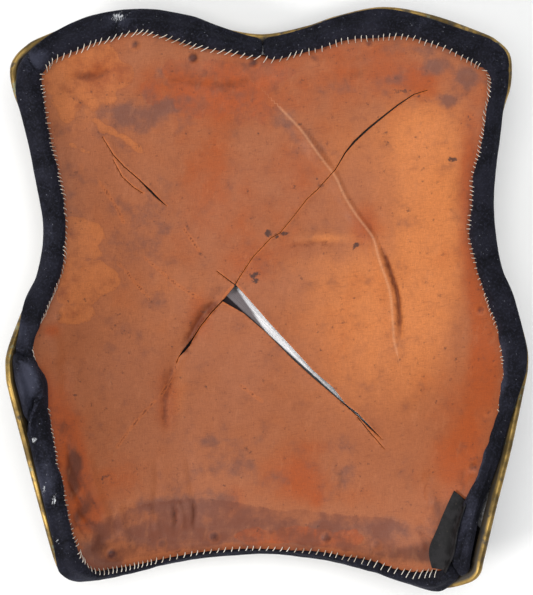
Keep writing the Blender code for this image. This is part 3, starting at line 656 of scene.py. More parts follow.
# Folds and creases of the roll as seen: the line, how far it stands up, and its half-width
# in pixels
ROLL_FOLDS = (
    (((14, 358), (24, 364), (32, 372), (38, 383), (41, 394), (40, 403)), 0.0032, 6.0),
    (((38, 394), (34, 401), (30, 409), (27, 420), (26, 438)), -0.0042, 2.4),
    (((40, 398), (36, 406), (32, 415), (30, 426), (30, 440)), 0.0022, 2.6),
    (((9, 350), (17, 352), (26, 357)), -0.0040, 2.2), (((34, 413), (40, 412), (47, 408)), -0.0016, 2.0),
    (((40, 196), (47, 203), (52, 214)), -0.0013, 2.5), (((497, 253), (489, 258), (480, 262)), -0.0013, 2.5),
    (((494, 74), (503, 71), (512, 69)), -0.0018, 2.2), (((38, 74), (30, 62), (26, 50)), -0.0014, 2.5),
    (((121, 12), (117, 24), (112, 36)), -0.0012, 2.5), (((486, 440), (482, 462), (474, 485)), 0.0015, 5.0),
    (((493, 462), (487, 485), (479, 510), (474, 530)), -0.0016, 3.0),
    (((468, 528), (461, 548), (455, 575)), -0.0022, 2.5), (((502, 340), (497, 365), (500, 392)), 0.0010, 5.0),
    (((59, 545), (70, 540), (78, 548)), -0.0012, 2.5),
)
# Paint dabs and rubbed places on the suede: the middle, how far across and down, the strength
PAINT_DABS = (
    (118, 17, 8, 6, 0.9), (34, 440, 3.0, 3.2, 1.1), (44, 489, 2.4, 6, 0.8), (54, 500, 3, 7, 0.9),
    (57, 541, 3, 4, 0.7), (47, 474, 2, 4, 0.5), (102, 20, 4, 4, 0.4),
)
RUBBED_PLACES = (
    (28, 372, 10, 14, 0.3), (36, 60, 14, 12, 0.9), (28, 385, 12, 26, 0.8), (45, 480, 14, 40, 0.6),
    (500, 370, 8, 34, 0.8), (470, 520, 14, 40, 0.5), (120, 18, 18, 10, 0.6), (430, 22, 40, 8, 0.35),
    (200, 30, 40, 9, 0.3), (50, 235, 9, 30, 0.35), (500, 60, 10, 8, 0.4), (90, 580, 30, 8, 0.5),
    (22, 330, 8, 20, 0.5),
)


def roll_size(share):
    """The roll's width, height, overhang and wrap at shares of the whole edge."""
    share = np.asarray(share) % 1.0
    place = np.where(share <= 0.5, share * 2, (1 - share) * 2)
    sizes = []
    for column, size in ((1, ROLL_WIDTH), (2, ROLL_HEIGHT), (3, ROLL_OVERHANG), (4, 1.0)):
        right, left = from_rows(ROLL_RIGHT, place, column), from_rows(ROLL_LEFT, place, column)
        sizes.append(np.where(share <= 0.5, right, left) * size)
    return sizes


def under_picture(places, height):
    """The plan points whose place above the form, at a height, the camera sees there."""
    places = np.array(places, dtype=float)
    cos, sin = math.cos(CAMERA_TURN), math.sin(CAMERA_TURN)
    plan = np.zeros((len(places), 2))
    for _ in range(24):
        off = places - picture_places(above_form(plan, height))
        plan[:, 0] += (off[:, 0] * cos - off[:, 1] * sin) * PIXEL_SIZE * 0.9
        plan[:, 1] += (-off[:, 0] * sin - off[:, 1] * cos) * PIXEL_SIZE * 0.9
    return plan


def cross(a, b):
    return a[..., 0] * b[..., 1] - a[..., 1] * b[..., 0]


def seam_from_picture():
    """The seam's plan points and the directions in from the edge, at even shares of the edge."""
    shares = np.arange(SEAM_STATIONS) / SEAM_STATIONS
    width, _, overhang, _ = roll_size(shares)
    point, outward, _ = edge_frame(shares)
    rim = along_edge(shares)
    inset = (point - outward * (width - overhang)[:, None])[:, :2] - rim
    expected, aim = np.linalg.norm(inset, axis=1), unit(inset)
    start = under_picture(SEAM_SEEN, SEAM_HEIGHT)
    run = np.roll(start, -1, axis=0) - start
    to_start = start[None] - rim[:, None]
    turn = cross(aim[:, None], run[None])
    turn = np.where(np.abs(turn) < 1e-9, 1e-9, turn)
    reach = cross(to_start, run[None]) / turn
    part = cross(to_start, aim[:, None]) / turn
    off = np.where((part >= 0) & (part <= 1) & (reach > 0), np.abs(reach - expected[:, None]), 1.0)
    nearest = np.argmin(off, axis=1)
    found = off[np.arange(len(shares)), nearest] < SEAM_MOST_OFF
    distance = np.where(found, reach[np.arange(len(shares)), nearest], expected)
    distance = np.maximum(distance, SEAM_LEAST)
    distance = np.median([np.roll(distance, k) for k in range(-SEAM_EASE, SEAM_EASE + 1)], axis=0)
    seam = rim + aim * distance[:, None]
    return np.mean([np.roll(seam, k, axis=0) for k in range(-SEAM_EASE, SEAM_EASE + 1)], axis=0), aim


seam_line, seam_aim = seam_from_picture()
seam_shares = np.arange(SEAM_STATIONS + 1) / SEAM_STATIONS


def seam_plan(share, clearance=0.0):
    """The seam's plan points, at shares of the edge, a clearance further in."""
    share = np.asarray(share) % 1.0
    columns = [np.interp(share, seam_shares, np.append(seam_line[:, k], seam_line[0, k])) for k in (0, 1)]
    aims = [np.interp(share, seam_shares, np.append(seam_aim[:, k], seam_aim[0, k])) for k in (0, 1)]
    return np.stack(columns, axis=-1) + np.stack(aims, axis=-1) * clearance


def beside_line(places, line):
    """How far places are from a line, on which side (right of its run is positive), and how
    far along it, from 0 to 1."""
    line = np.array(line, dtype=float)
    start, run = line[:-1], np.diff(line, axis=0)
    marks = lengths_along(line)
    to_place = places[:, None] - start[None]
    part = np.clip((to_place * run).sum(2) / (run * run).sum(1), 0, 1)
    off = to_place - part[..., None] * run
    distance = np.linalg.norm(off, axis=2)
    nearest = np.argmin(distance, axis=1)
    pick = np.arange(len(places))
    side = np.sign(cross(run[nearest], off[pick, nearest]))
    along = (marks[nearest] + part[pick, nearest] * (marks[nearest + 1] - marks[nearest])) / marks[-1]
    return distance[pick, nearest], side, along


def smooth_line(points, samples=6):
    """An open smooth curve through points."""
    points = np.array(points, dtype=float)
    ends = np.vstack([2 * points[:1] - points[1:2], points, 2 * points[-1:] - points[-2:-1]])
    line = []
    for k in range(1, len(ends) - 2):
        a, b, c, d = ends[k - 1 : k + 3]
        for t in np.arange(samples) / samples:
            line.append(
                0.5 * (2 * b + (c - a) * t + (2 * a - 5 * b + 4 * c - d) * t**2 + (3 * b - 3 * c + d - a) * t**3)
            )
    line.append(points[-1])
    return np.array(line)


def roll_outline(share):
    """The roll's section at shares of the edge, smoothed: how far out and how high, each."""
    _, height, overhang, wrap = roll_size(share)
    width = np.linalg.norm(along_edge(share) - seam_plan(share), axis=1) + overhang
    thinned = np.minimum(1, wrap / ROLL_THIN_FROM)
    tip = overhang + (ROLL_TAIL_REACH - overhang) * wrap
    tip_top = height * (1 - ROLL_CORNER) * (1 - thinned) + ROLL_TAIL_THICKNESS * thinned
    outer, inner = overhang - width * ROLL_CORNER, overhang - width * (1 - ROLL_CORNER)
    flat = np.zeros(len(share))
    corners = (
        (tip, tip_top),
        (outer + (tip - outer) * 0.5, height * 0.3 + tip_top * 0.7),
        (outer, height),
        (inner, height * 1.04),
        (overhang - width, height * (1 - ROLL_CORNER)),
        (overhang - width, height * ROLL_CORNER),
        (inner, flat),
        (outer, flat),
        (outer + (tip - outer) * 0.4, flat),
        (outer + (tip - outer) * 0.75, flat),
        (tip, height * ROLL_CORNER * (1 - thinned)),
    )
    corners = np.array(corners).transpose(2, 0, 1)
    return np.array([smooth_loop(corner, ROLL_ROUNDING)[:-1] for corner in corners])


def roll_place(share, reach, rise):
    """The roll's points: past the edge they turn round it, inside it they lie over the plate."""
    ground = PLATE_THICKNESS + BENT_CLEARANCE + BINDING_THICKNESS + ROLL_CLEARANCE
    rim, seam = along_edge(share), seam_plan(share)
    inset = np.linalg.norm(rim - seam, axis=1)[:, None]
    point, outward, inward = (part[:, None] for part in edge_frame(share))
    turn = (np.maximum(reach, 0) / ground)[..., None]
    past = point + (outward * np.sin(turn) + inward * np.cos(turn)) * (ground + rise)[..., None]
    part = np.clip(-reach / np.maximum(inset, 1e-6), 0, 1.1)[..., None]
    plan = rim[:, None] * (1 - part) + seam[:, None] * part
    within = above_form(plan.reshape(-1, 2), (ground + rise).reshape(-1)).reshape(plan.shape[:2] + (3,))
    return np.where((reach >= 0)[..., None], past, within)


def roll_surface(share, taper):
    outline = roll_outline(share)
    middle = outline.mean(axis=1, keepdims=True)
    outline = middle + (outline - middle) * taper[:, None, None]
    lump = 0.05 * np.sin(share * 2 * math.pi * 37 + 1.0) + 0.04 * np.sin(share * 2 * math.pi * 61 + 4.0)
    lump += 0.03 * np.sin(share * 2 * math.pi * 113 + 2.5)
    return roll_place(share, outline[..., 0], outline[..., 1] * (1 + lump[:, None]))


def fading(along, end, gain):
    """1 along most of a line, drawn down towards both its ends."""
    return np.clip(np.sin(np.pi * np.clip(along, end, 1 - end)) * gain, 0, 1)


def washed(places, washes):
    """The sum of soft touches: each one's middle, how far across and down, and strength."""
    total = np.zeros(len(places))
    for x, y, across, down, strength in washes:
        total += strength * np.exp(-(((places[:, 0] - x) / across) ** 2) - ((places[:, 1] - y) / down) ** 2)
    return total


def raise_roll_folds(points):
    """Presses the seen folds and creases into the roll's upper side."""
    centre = points.mean(axis=1, keepdims=True)
    away = unit(points - centre)
    upper = np.clip(away[..., 2:] * 1.6 + 0.1, 0, 1)
    places = picture_places(points.reshape(-1, 3))
    rise = np.zeros(len(places))
    for line, height, half_width in ROLL_FOLDS:
        distance, _, along = beside_line(places, smooth_line(line))
        rise += FOLD_BOLDNESS * height * fading(along, 0.02, 2.2) * np.exp(-((distance / half_width) ** 2))
    return points + away * upper * rise.reshape(points.shape[:2] + (1,))


def fold_marks(places, crests):
    """How near places are to the roll's crests, or else to its creases, for the painted highlights and painted
    shade that follow them.
    """
    near = np.zeros(len(places))
    for line, height, half_width in ROLL_FOLDS:
        if (height > 0) == crests:
            distance, _, along = beside_line(places, smooth_line(line))
            close = np.exp(-((distance / (0.55 * half_width)) ** 2))
            near = np.maximum(near, fading(along, 0.02, 2.2) * close)
    return near


def add_roll(name, start, end):
    """One length of the roll between two shares of the edge, its ends drawn in and rounded."""
    gap, tip = ROLL_JOINT_GAP / 2 / edge_length, ROLL_END_LENGTH / edge_length
    rounding = np.linspace(0, 1, 7)
    count = int((end - start) * edge_length / ROLL_STEP)
    shares = np.linspace(start + gap + tip, end - gap - tip, count)
    lead = start + gap + tip * (1 - np.cos(rounding * math.pi / 2))
    close = end - gap - tip * (1 - np.cos(rounding * math.pi / 2))[::-1]
    tapers = 0.35 + 0.65 * np.sin(rounding * math.pi / 2)
    shares = np.concatenate([lead[:-1], shares, close[1:]])
    taper = np.concatenate([tapers[:-1], np.ones(count), tapers[::-1][1:]])
    return loft(name, raise_roll_folds(roll_surface(shares, taper)), closed=False)


suede, tree, shader = new_finish("navy_suede", ink(16, 16, 24), 0.9)
shader.inputs["Sheen Weight"].default_value = 0.10
shader.inputs["Sheen Roughness"].default_value = 0.5
shader.inputs["Sheen Tint"].default_value = ink(120, 124, 150)
shader.inputs["Specular IOR Level"].default_value = 0.16
nap = mottle(tree, position(tree), 620, 3, 0.7)
cloud = mottle(tree, position(tree), 60, 5)
colour = over(tree, ramp(tree, cloud, 0.35, 0.65), ink(11, 11, 17), ink(23, 23, 33))
colour = stain(tree, colour, nap, 0.48, 0.66, 0.6, (40, 41, 54))
rubbed = sum_of(tree, mask_of(tree, "rubbed"), sum_of(tree, sum_of(tree, cloud, nap), 0.6, "MULTIPLY"))
colour = stain(tree, colour, rubbed, 0.75, 1.5, 0.55, (66, 68, 84))
# Painted highlight along the fold crests, and painted shade in the creases
crest_highlight = sum_of(tree, mask_of(tree, "crest_highlight"), sum_of(tree, nap, 1.2, "MULTIPLY"))
colour = stain(tree, colour, crest_highlight, 0.9, 1.8, 0.38, (72, 74, 90))
colour = stain(tree, colour, mask_of(tree, "crease_shade"), 0.2, 1.0, 0.85, (5, 5, 9))
lint = ramp(tree, mottle(tree, position(tree), 640, 2, 0.4), 0.72, 0.76, 0, 0.6)
colour = over(tree, lint, colour, ink(120, 122, 132))
streaky = mottle(tree, position(tree, (1, 0.35, 1), math.radians(75)), 420, 4, 0.75)
dab = sum_of(tree, mask_of(tree, "paint"), sum_of(tree, streaky, 2.6, "MULTIPLY"))
colour = stain(tree, colour, dab, 1.95, 2.15, 0.9, (204, 206, 210))
tree.links.new(colour, shader.inputs["Base Color"])
tree.links.new(ramp(tree, cloud, 0.3, 0.7, 0.95, 0.80), shader.inputs["Roughness"])
emboss(tree, shader, sum_of(tree, nap, mottle(tree, position(tree), 150, 4)), 0.6, 0.0007)

for name, start, end, node in (
    ("edge_roll_right", 0.0, ROLL_JOINT, "roll_right"),
    ("edge_roll_left", ROLL_JOINT, 1.0, "roll_left"),
):
    roll = add_roll(name, start, end)
    places = seen_points(roll)
    add_mask(roll, "paint", washed(places, PAINT_DABS))
    add_mask(roll, "rubbed", washed(places, RUBBED_PLACES))
    add_mask(roll, "crest_highlight", fold_marks(places, True))
    add_mask(roll, "crease_shade", fold_marks(places, False))
    roll.data.materials.append(suede)
    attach(roll, "root")
    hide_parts(node)

# ---------------------------------------------------------------------------------------
# The leather lining. One tan hide laid slack in the hollow, cut to the roll's inner side and
# whipped to it; it has stained, stretched over the rivets, and torn open in a slanting cross.
LINING_THICKNESS = 0.0018
LINING_EDGE_GAP = 0.0028
LINING_MIDDLE_GAP = 0.0075
LINING_COLUMNS = 204
LINING_ROWS = 216
SAG_DEPTH = 0.0009
PUCKER_DEPTH = 0.0004
RIVET_BUMP_HEIGHT = 0.0016
RIVET_BUMP_RADIUS = 3.4
STITCH_STEP = 0.0050
TEAR_LIP_HEIGHT = 0.0009
TEAR_LIP_WIDTH = 3.2
GASH_LIP_WIDTH = 3.5
RIM_WIDTH = 0.008
# The long fold that runs down the right side, and the smaller folds and wrinkles: the line in
# the picture, its height, and its half-widths on the left and on the right in pixels
LONG_FOLD = (
    (280, 108), (290, 118), (302, 131), (314, 148), (325, 163), (335, 176), (345, 197), (357, 216), (367, 229),
    (374, 240), (379, 259), (385, 276), (390, 292), (392, 310), (393, 325), (394, 340), (397, 353),
)
LINING_FOLDS = (
    (LONG_FOLD, 0.0026, 8.0, 2.4), (((291, 122), (306, 136), (318, 152), (328, 166)), 0.0014, 4.0, 2.5),
    (((283, 240), (300, 240), (318, 237), (336, 239), (350, 246)), 0.0012, 4.0, 6.0),
    (((292, 222), (298, 230), (304, 240)), 0.0009, 3.0, 3.0),
    (((262, 215), (268, 226), (273, 236)), 0.0009, 3.0, 3.0),
    (((222, 300), (206, 318), (193, 340), (181, 358), (172, 380), (165, 398)), -0.0022, 12.0, 5.0),
    (((232, 292), (216, 306), (204, 322), (195, 340)), 0.0010, 3.5, 6.0),
    (((150, 255), (190, 285), (222, 305)), 0.0006, 10.0, 14.0),
    (((66, 440), (72, 470), (80, 500), (92, 530)), -0.0012, 5.0, 7.0),
    (((86, 450), (92, 478), (100, 505), (110, 535)), 0.0013, 6.0, 5.0),
    (((76, 515), (88, 535), (100, 552)), 0.0010, 4.0, 4.0),
    (((155, 455), (157, 480), (153, 515)), -0.0007, 3.0, 4.0),
    (((186, 450), (192, 485), (196, 530)), -0.0007, 3.5, 5.0),
    (((118, 500), (122, 525), (128, 548)), 0.0008, 4.0, 4.0),
    (((420, 470), (436, 500), (440, 530)), 0.0010, 7.0, 5.0),
    (((455, 180), (462, 215), (463, 250)), 0.0009, 7.0, 5.0),
    (((320, 60), (345, 66), (375, 62)), 0.0010, 6.0, 6.0),
    (((150, 62), (185, 74), (225, 78), (255, 74)), 0.0010, 7.0, 7.0),
    (((62, 78), (88, 80), (112, 72)), -0.0008, 6.0, 6.0), (((48, 330), (56, 345), (60, 365)), 0.0010, 5.0, 5.0),
    (((60, 352), (66, 376), (64, 400)), -0.0008, 5.0, 6.0),
    (((404, 400), (430, 430), (446, 462)), 0.0006, 10.0, 10.0),
    (((120, 556), (160, 551), (215, 545), (270, 541), (330, 546), (390, 559)), 0.0009, 3.0, 3.0),
    (((114, 530), (130, 540), (150, 548)), 0.0008, 2.5, 2.5),
    (((96, 548), (108, 541), (124, 536)), 0.0008, 2.5, 2.5),
    (((150, 505), (154, 520), (160, 535)), 0.0008, 2.5, 2.5),
    (((176, 500), (181, 515), (183, 530)), 0.0010, 3.0, 2.5),
    (((334, 455), (332, 480), (328, 508)), 0.0008, 4.0, 3.0),
    (((416, 520), (421, 535), (424, 552)), 0.0008, 3.0, 3.0),
    (((300, 120), (312, 132), (326, 140)), 0.0006, 2.5, 2.5),
    (((280, 116), (292, 128), (300, 142)), 0.0006, 2.5, 2.5),
    (((430, 470), (428, 490), (432, 505)), 0.0008, 4.0, 3.0),
)
# Grooves pressed in beside the folds and darkened with painted shade: the line, the depth and
# the half-width in pixels
# The depth from which a groove's painted shade is darkest
GROOVE_SHADE_FULL_DEPTH = 0.0013
FOLD_GROOVES = (
    (((379, 241), (386, 259), (392, 276), (397, 292), (399, 310), (400, 326), (399.5, 345)), 0.0022, 2.6),
    (((222, 298), (209, 310), (199, 323), (191, 337), (184, 349)), 0.0014, 5.0),
    (((176, 362), (170, 378), (166, 394), (165, 412), (167, 434)), 0.0009, 3.6),
    (((283, 244), (300, 246), (320, 243), (340, 246)), 0.0006, 3.0),
    (((160, 78), (190, 84), (225, 86), (255, 80)), 0.0006, 4.5), (((72, 76), (92, 78), (116, 68)), 0.0006, 5.0),
    (((104, 515), (140, 506), (182, 500), (200, 499)), 0.0005, 2.5),
    (((62, 88), (75, 94), (92, 90)), 0.0004, 3.0), (((70, 452), (75, 468), (84, 486), (88, 498)), 0.0008, 2.4),
    (((64, 472), (76, 492), (88, 512)), 0.0008, 2.2), (((76, 506), (86, 518), (100, 530)), 0.0008, 2.0),
    (((72, 512), (80, 528), (90, 544)), 0.0009, 2.2), (((84, 488), (95, 505), (104, 520)), 0.0008, 2.0),
    (((66, 440), (70, 452), (72, 466)), 0.0007, 2.0), (((173, 500), (177, 514), (176, 528)), 0.0007, 2.2),
    (((193, 500), (195, 514), (192, 528)), 0.0007, 2.2), (((150, 503), (153, 516), (152, 528)), 0.0005, 1.8),
    (((336, 456), (334, 478), (330, 500)), 0.0004, 1.8), (((474, 455), (471, 470), (468, 480)), 0.0006, 2.4),
    (((428, 478), (424, 495), (428, 512)), 0.0004, 2.0), (((464, 185), (470, 205), (469, 235)), 0.0005, 3.0),
    (((418, 525), (423, 540), (430, 556)), 0.0006, 2.2),
)
# The tears: a line down the middle of each, with the width of the opening at every point
GASH_OUTLINE = (
    (235.8, 284.7), (250, 300.5), (267, 320), (289, 344), (313, 370), (333, 387), (345, 403), (357.5, 412.5),
    (370, 426), (382, 439), (369, 427.5), (357.5, 416), (336, 397), (313, 377.5), (293, 359.5), (266, 332.5),
    (244, 313.5), (222.5, 301),
)
OPEN_SLIVER = (190, 344)
TEAR_LINES = (
    (
        (427, 90.5, 0.5), (413, 95, 0.9), (398, 105, 1.4), (384, 116, 1.7), (368, 129, 2.1), (354, 142, 2.1),
        (345, 153, 1.3), (335, 170, 0.7), (317, 190, 0.6), (307, 199, 0.5), (294, 216, 0.45), (280, 233, 0.5),
        (271, 238, 0.5), (253, 257, 0.5), (245, 269, 0.5), (239, 278, 0.6), (234.5, 286.5, 1.0),
    ),
    (
        (103, 137, 0.4), (114, 155, 0.7), (125, 167, 0.8), (140, 180, 0.9), (144, 184, 1.2), (151, 191, 2.2),
        (158, 198, 1.8), (167, 206, 0.4),
    ),
    ((114, 160, 0.4), (123, 177, 0.6), (135, 188, 0.6), (144, 193.5, 0.4)),
    ((217, 271, 0.5), (226, 278, 0.8), (236, 285.5, 1.0)),
    (
        (224, 299.5, 1.2), (212, 312, 0.9), (201, 326, 0.8), (193.5, 338, 1.2), (189, 345, 2.8), (184, 351, 2.4),
        (179, 357, 0.5), (177, 363, 0.4),
    ),
    ((357, 416.5, 0.8), (368, 430, 0.7), (383.5, 448, 0.4)),
)
CREASE_LINES = (
    ((184, 229), (192, 240), (200, 253)), ((155, 401), (140, 417), (128, 432), (117, 447)),
    ((145, 258), (175, 283), (200, 299)), ((177, 361), (172, 378), (160, 396)), ((118, 262), (150, 300)),
    ((240, 385), (262, 401)), ((395, 91), (400, 92), (412, 92)), ((98, 180), (112, 200), (124, 222)),
)
RIVET_BUMPS = (
    (135, 45, 1.0), (193, 58, 1.5), (253, 63, 1.1), (314, 58, 0.6), (369, 43, 0.8), (80, 267, 0.5),
    (60, 316, 0.7), (58, 465, 0.8), (112, 554, 1.6), (162, 544, 0.6), (214, 537, 1.0), (326, 538, 1.1),
    (377, 545, 0.5), (451, 210, 0.5), (458, 264, 0.4), (480, 310, 0.6), (488, 412, 0.4), (473, 467, 0.9),
    (78, 168, 0.4), (270, 532, 0.4), (72, 526, 0.8), (455, 160, 0.4),
)
# Stains with a clear border, as seen
PALE_STAINS = (
    (
        (40, 70), (58, 58), (84, 50), (108, 44), (122, 60), (133, 67), (136, 76), (128, 87), (117, 93),
        (119, 99), (112, 104), (101, 103), (93, 111), (84, 102), (72, 96), (60, 97), (46, 92), (41, 82),
    ),
    ((53, 97), (60, 94), (68, 96), (77, 102), (79, 109), (75, 112), (73, 119), (65, 123), (58, 116), (53, 106)),
    (
        (89, 117), (98, 119), (106, 124), (117, 131), (126, 135), (135, 142), (146, 153), (140, 153), (131, 146),
        (120, 138), (110, 134), (101, 131), (95, 124),
    ),
    ((66, 141), (76, 144), (90, 152), (80, 152), (70, 147)),
    (
        (64, 222), (72, 217), (84, 219), (95, 222), (104, 228), (107, 238), (100, 246), (104, 254), (97, 259),
        (86, 257), (78, 261), (66, 259), (63, 245),
    ),
    (
        (62, 262), (75, 259), (88, 262), (102, 262), (114, 270), (120, 281), (112, 291), (100, 296), (92, 303),
        (78, 304), (64, 305), (57, 300), (60, 280),
    ),
    ((60, 306), (74, 305), (90, 306), (95, 314), (86, 322), (72, 325), (58, 322)),
)
RED_STAINS = (
    (
        (232, 536), (252, 527), (278, 530), (300, 524), (330, 532), (356, 528), (366, 541), (340, 549),
        (300, 543), (258, 546),
    ),
    ((142, 81), (149, 80), (156, 81), (161, 89), (163, 98), (156, 102), (147, 104), (144, 97), (139, 90)),
    (
        (162, 70), (168, 84), (174, 99), (176, 108), (190, 112), (198, 121), (208, 114), (216, 121), (232, 114),
        (240, 124), (250, 118), (263, 124), (270, 112), (266, 98), (280, 84), (296, 72), (276, 62), (240, 64),
        (214, 60), (190, 62), (174, 58),
    ),
)
DAMP_BAND = ((
    (98, 522), (110, 515), (140, 506), (170, 501), (195, 498), (215, 500), (240, 503), (258, 506), (280, 510),
    (300, 508), (320, 512), (350, 515), (380, 517), (400, 522), (420, 530), (440, 545), (445, 562), (380, 556),
    (330, 549), (270, 542), (215, 545), (165, 553), (115, 562), (95, 560), (90, 540),
),)
# Soft tones, laid like washes: the middle, how far across and down, and the strength
# Lighter tones of the hide; the thin touch at 327, 238 is a painted highlight on the fold across the middle, and
# the dark one at 300, 250 painted shade below it
LIGHT_WASHES = (
    (432, 215, 55, 95, 0.95), (395, 335, 60, 80, 0.62), (330, 305, 55, 55, 0.36), (418, 135, 42, 42, 0.55),
    (340, 155, 30, 40, 0.22), (150, 330, 60, 40, 0.14), (390, 250, 10, 90, -0.25), (470, 240, 14, 70, -0.35),
    (335, 260, 60, 30, 0.20), (327, 238, 22, 4, 0.55), (300, 250, 30, 8, -0.3), (288, 118, 16, 5, 0.4),
    (345, 385, 50, 30, 0.18), (428, 300, 26, 70, 0.20), (85, 110, 40, 20, 0.35), (190, 285, 40, 20, 0.22),
    (180, 395, 8, 34, 0.32), (88, 290, 30, 60, 0.12),
)
# Burnt red-brown tones; the touch at 200, 318 is painted shade in the dip beside the lower tear
BURNT_WASHES = (
    (300, 476, 20, 20, 0.55), (318, 498, 8, 10, 0.5), (235, 500, 10, 16, 0.4), (330, 448, 30, 6, 0.25),
    (215, 90, 75, 34, 0.75), (455, 455, 30, 80, 0.75), (472, 440, 9, 50, 0.3), (490, 360, 14, 70, 0.75),
    (62, 430, 16, 60, 0.85), (76, 478, 11, 36, 1.25), (88, 515, 15, 20, 1.15), (120, 480, 24, 36, 0.25),
    (395, 75, 55, 22, 0.60), (245, 190, 60, 60, 0.30), (195, 205, 34, 50, 0.28), (340, 52, 60, 14, 0.45),
    (105, 75, 40, 18, 0.50), (365, 225, 20, 26, 0.65), (250, 270, 26, 26, 0.45), (200, 318, 16, 26, 0.75),
    (165, 400, 16, 40, 0.55), (475, 300, 10, 60, 0.7), (300, 480, 110, 26, 0.22), (42, 395, 12, 34, 0.75),
    (300, 170, 22, 34, 0.35), (420, 80, 20, 16, 0.40), (478, 130, 14, 60, 0.35), (470, 200, 12, 60, 0.85),
    (66, 290, 8, 60, 0.25), (52, 330, 10, 10, 0.9), (300, 90, 60, 24, 0.25),
)
# Darker leather in places, and painted shade in the wrinkles at the lower left and at the bottom and in the dip
# beside the lower tear
DARK_WASHES = (
    (78, 462, 5, 9, 0.8), (74, 485, 4, 14, 0.7), (88, 500, 6, 12, 0.6), (82, 513, 6, 8, 0.8),
    (76, 516, 4, 8, 0.6), (98, 540, 6, 12, 0.6), (72, 470, 5, 18, 0.5), (125, 550, 60, 10, 0.45),
    (438, 515, 12, 26, 0.55), (300, 505, 12, 16, 0.25), (340, 480, 3, 24, 0.4), (208, 74, 26, 7, 0.35),
    (472, 205, 5, 62, 0.60), (72, 462, 7, 34, 0.65), (208, 308, 9, 5, 0.6), (371, 236, 4, 14, 0.40),
    (198, 322, 6, 10, 0.65), (225, 290, 10, 6, 0.4), (125, 50, 14, 6, 0.35), (384, 555, 70, 10, 0.45),
    (92, 76, 20, 6, 0.45), (466, 90, 14, 14, 0.25), (62, 428, 5, 12, 0.5), (462, 480, 6, 14, 0.55),
    (430, 552, 20, 12, 0.6), (300, 560, 120, 6, 0.3), (164, 385, 5, 22, 0.35), (186, 350, 4, 5, 0.8),
    (230, 305, 30, 3, 0.2), (360, 75, 24, 5, 0.3), (330, 56, 30, 4, 0.3), (452, 205, 10, 40, 0.12),
    (262, 215, 10, 14, 0.2), (300, 92, 50, 4, 0.2), (250, 64, 40, 4, 0.35), (174, 515, 4, 15, 0.85),
    (194, 512, 3.5, 16, 0.85), (152, 512, 4, 12, 0.35), (55, 120, 5, 30, 0.2),
)
GREY_WASHES = (
    (90, 556, 13, 14, 1.3), (106, 566, 22, 8, 0.9), (185, 506, 50, 12, 0.95), (215, 528, 120, 14, 0.85),
    (385, 530, 80, 12, 0.75), (212, 455, 40, 24, 0.2), (466, 78, 16, 12, 1.1), (432, 66, 16, 8, 1.0),
    (448, 100, 14, 7, 0.9), (150, 112, 50, 12, 0.55), (130, 250, 50, 90, 0.25), (148, 92, 9, 9, 0.9),
    (160, 74, 8, 9, 0.8), (168, 104, 10, 8, 0.7), (120, 128, 60, 16, 0.45), (420, 50, 30, 5, 0.6),
    (290, 118, 24, 12, 0.45), (320, 148, 28, 14, 0.45), (280, 545, 80, 10, 0.5), (165, 215, 30, 40, 0.18),
    (245, 470, 50, 24, 0.3), (345, 470, 14, 30, 0.5), (214, 92, 6, 9, 0.8), (188, 98, 9, 6, 0.7),
    (396, 78, 14, 6, 0.6), (150, 540, 50, 12, 0.7), (225, 440, 50, 6, 0.3), (320, 530, 10, 12, 0.5),
    (240, 100, 6, 12, 0.6), (95, 250, 16, 14, 0.3), (352, 90, 40, 10, 0.35), (125, 112, 14, 8, 0.7),
    (70, 205, 12, 30, 0.35), (400, 455, 14, 20, 0.25), (340, 200, 10, 30, 0.2),
)
SPOTS = (
    (254, 275, 5, 2.2, 1.0), (269, 233, 4.5, 3.4, 1.2), (276, 236, 2.5, 3.0, 1.0), (356, 245, 3.6, 2.2, 1.2),
    (316, 180, 3.0, 2.4, 1.0), (321, 186, 3, 2, 0.8), (300, 125, 3, 2.4, 0.8), (452, 160, 8, 3.0, 1.0),
    (400, 91.5, 12, 1.8, 1.1), (286, 233, 4, 2, 0.9), (232, 226, 3, 2, 0.6), (262, 196, 4, 3, 0.5),
    (340, 259, 3, 2, 0.6), (343, 322, 2.5, 4, 0.4), (255, 281, 4, 2, 0.8), (104, 480, 6, 4, 0.5),
    (203, 311, 4, 2.5, 0.7), (297, 198, 3, 2, 0.5), (420, 96, 3, 2, 0.6), (78, 168, 5, 4, 0.45),
    (163, 468, 2, 3, 0.4), (310, 215, 2, 2, 0.5), (280, 262, 2.4, 2, 0.7), (369, 61, 2, 3, 0.5),
)


def inside_outline(places, outline):
    """How far inside a closed outline places are, in pixels: below 0 outside it."""
    outline = smooth_loop(np.array(outline, dtype=float), 5)
    distance, _, _ = beside_line(places, outline)
    a, b = outline[:-1], outline[1:]
    x, y = places[:, :1], places[:, 1:]
    spans = (a[None, :, 1] > y) != (b[None, :, 1] > y)
    rise = np.where(np.abs(b[:, 1] - a[:, 1]) < 1e-9, 1e-9, b[:, 1] - a[:, 1])
    meets = a[None, :, 0] + (y - a[None, :, 1]) / rise[None] * (b[:, 0] - a[:, 0])[None]
    inside = (spans & (x < meets)).sum(1) % 2 == 1
    return np.where(inside, distance, -distance)


def tear_outline(line):
    """The two sides of a narrow tear, from its middle line and its widths."""
    line = np.array(line, dtype=float)
    middle = line[:, :2]
    ahead = unit(np.gradient(middle, axis=0))
    aside = np.stack([-ahead[:, 1], ahead[:, 0]], axis=1) * line[:, 2:] / 2
    return np.vstack([middle + aside, (middle - aside)[::-1]])


def lining_height(u, v):
    """How far the leather's back is from the plate's outer face."""
    fullness = eased(3.0 * (16 * u * (1 - u) * v * (1 - v)))
    return PLATE_THICKNESS + LINING_EDGE_GAP + (LINING_MIDDLE_GAP - LINING_EDGE_GAP) * fullness


def rivet_touches(radius):
    """The places where rivet ends press on the leather, as touches of a radius."""
    return [(x, y, radius, radius, strength) for x, y, strength in RIVET_BUMPS]


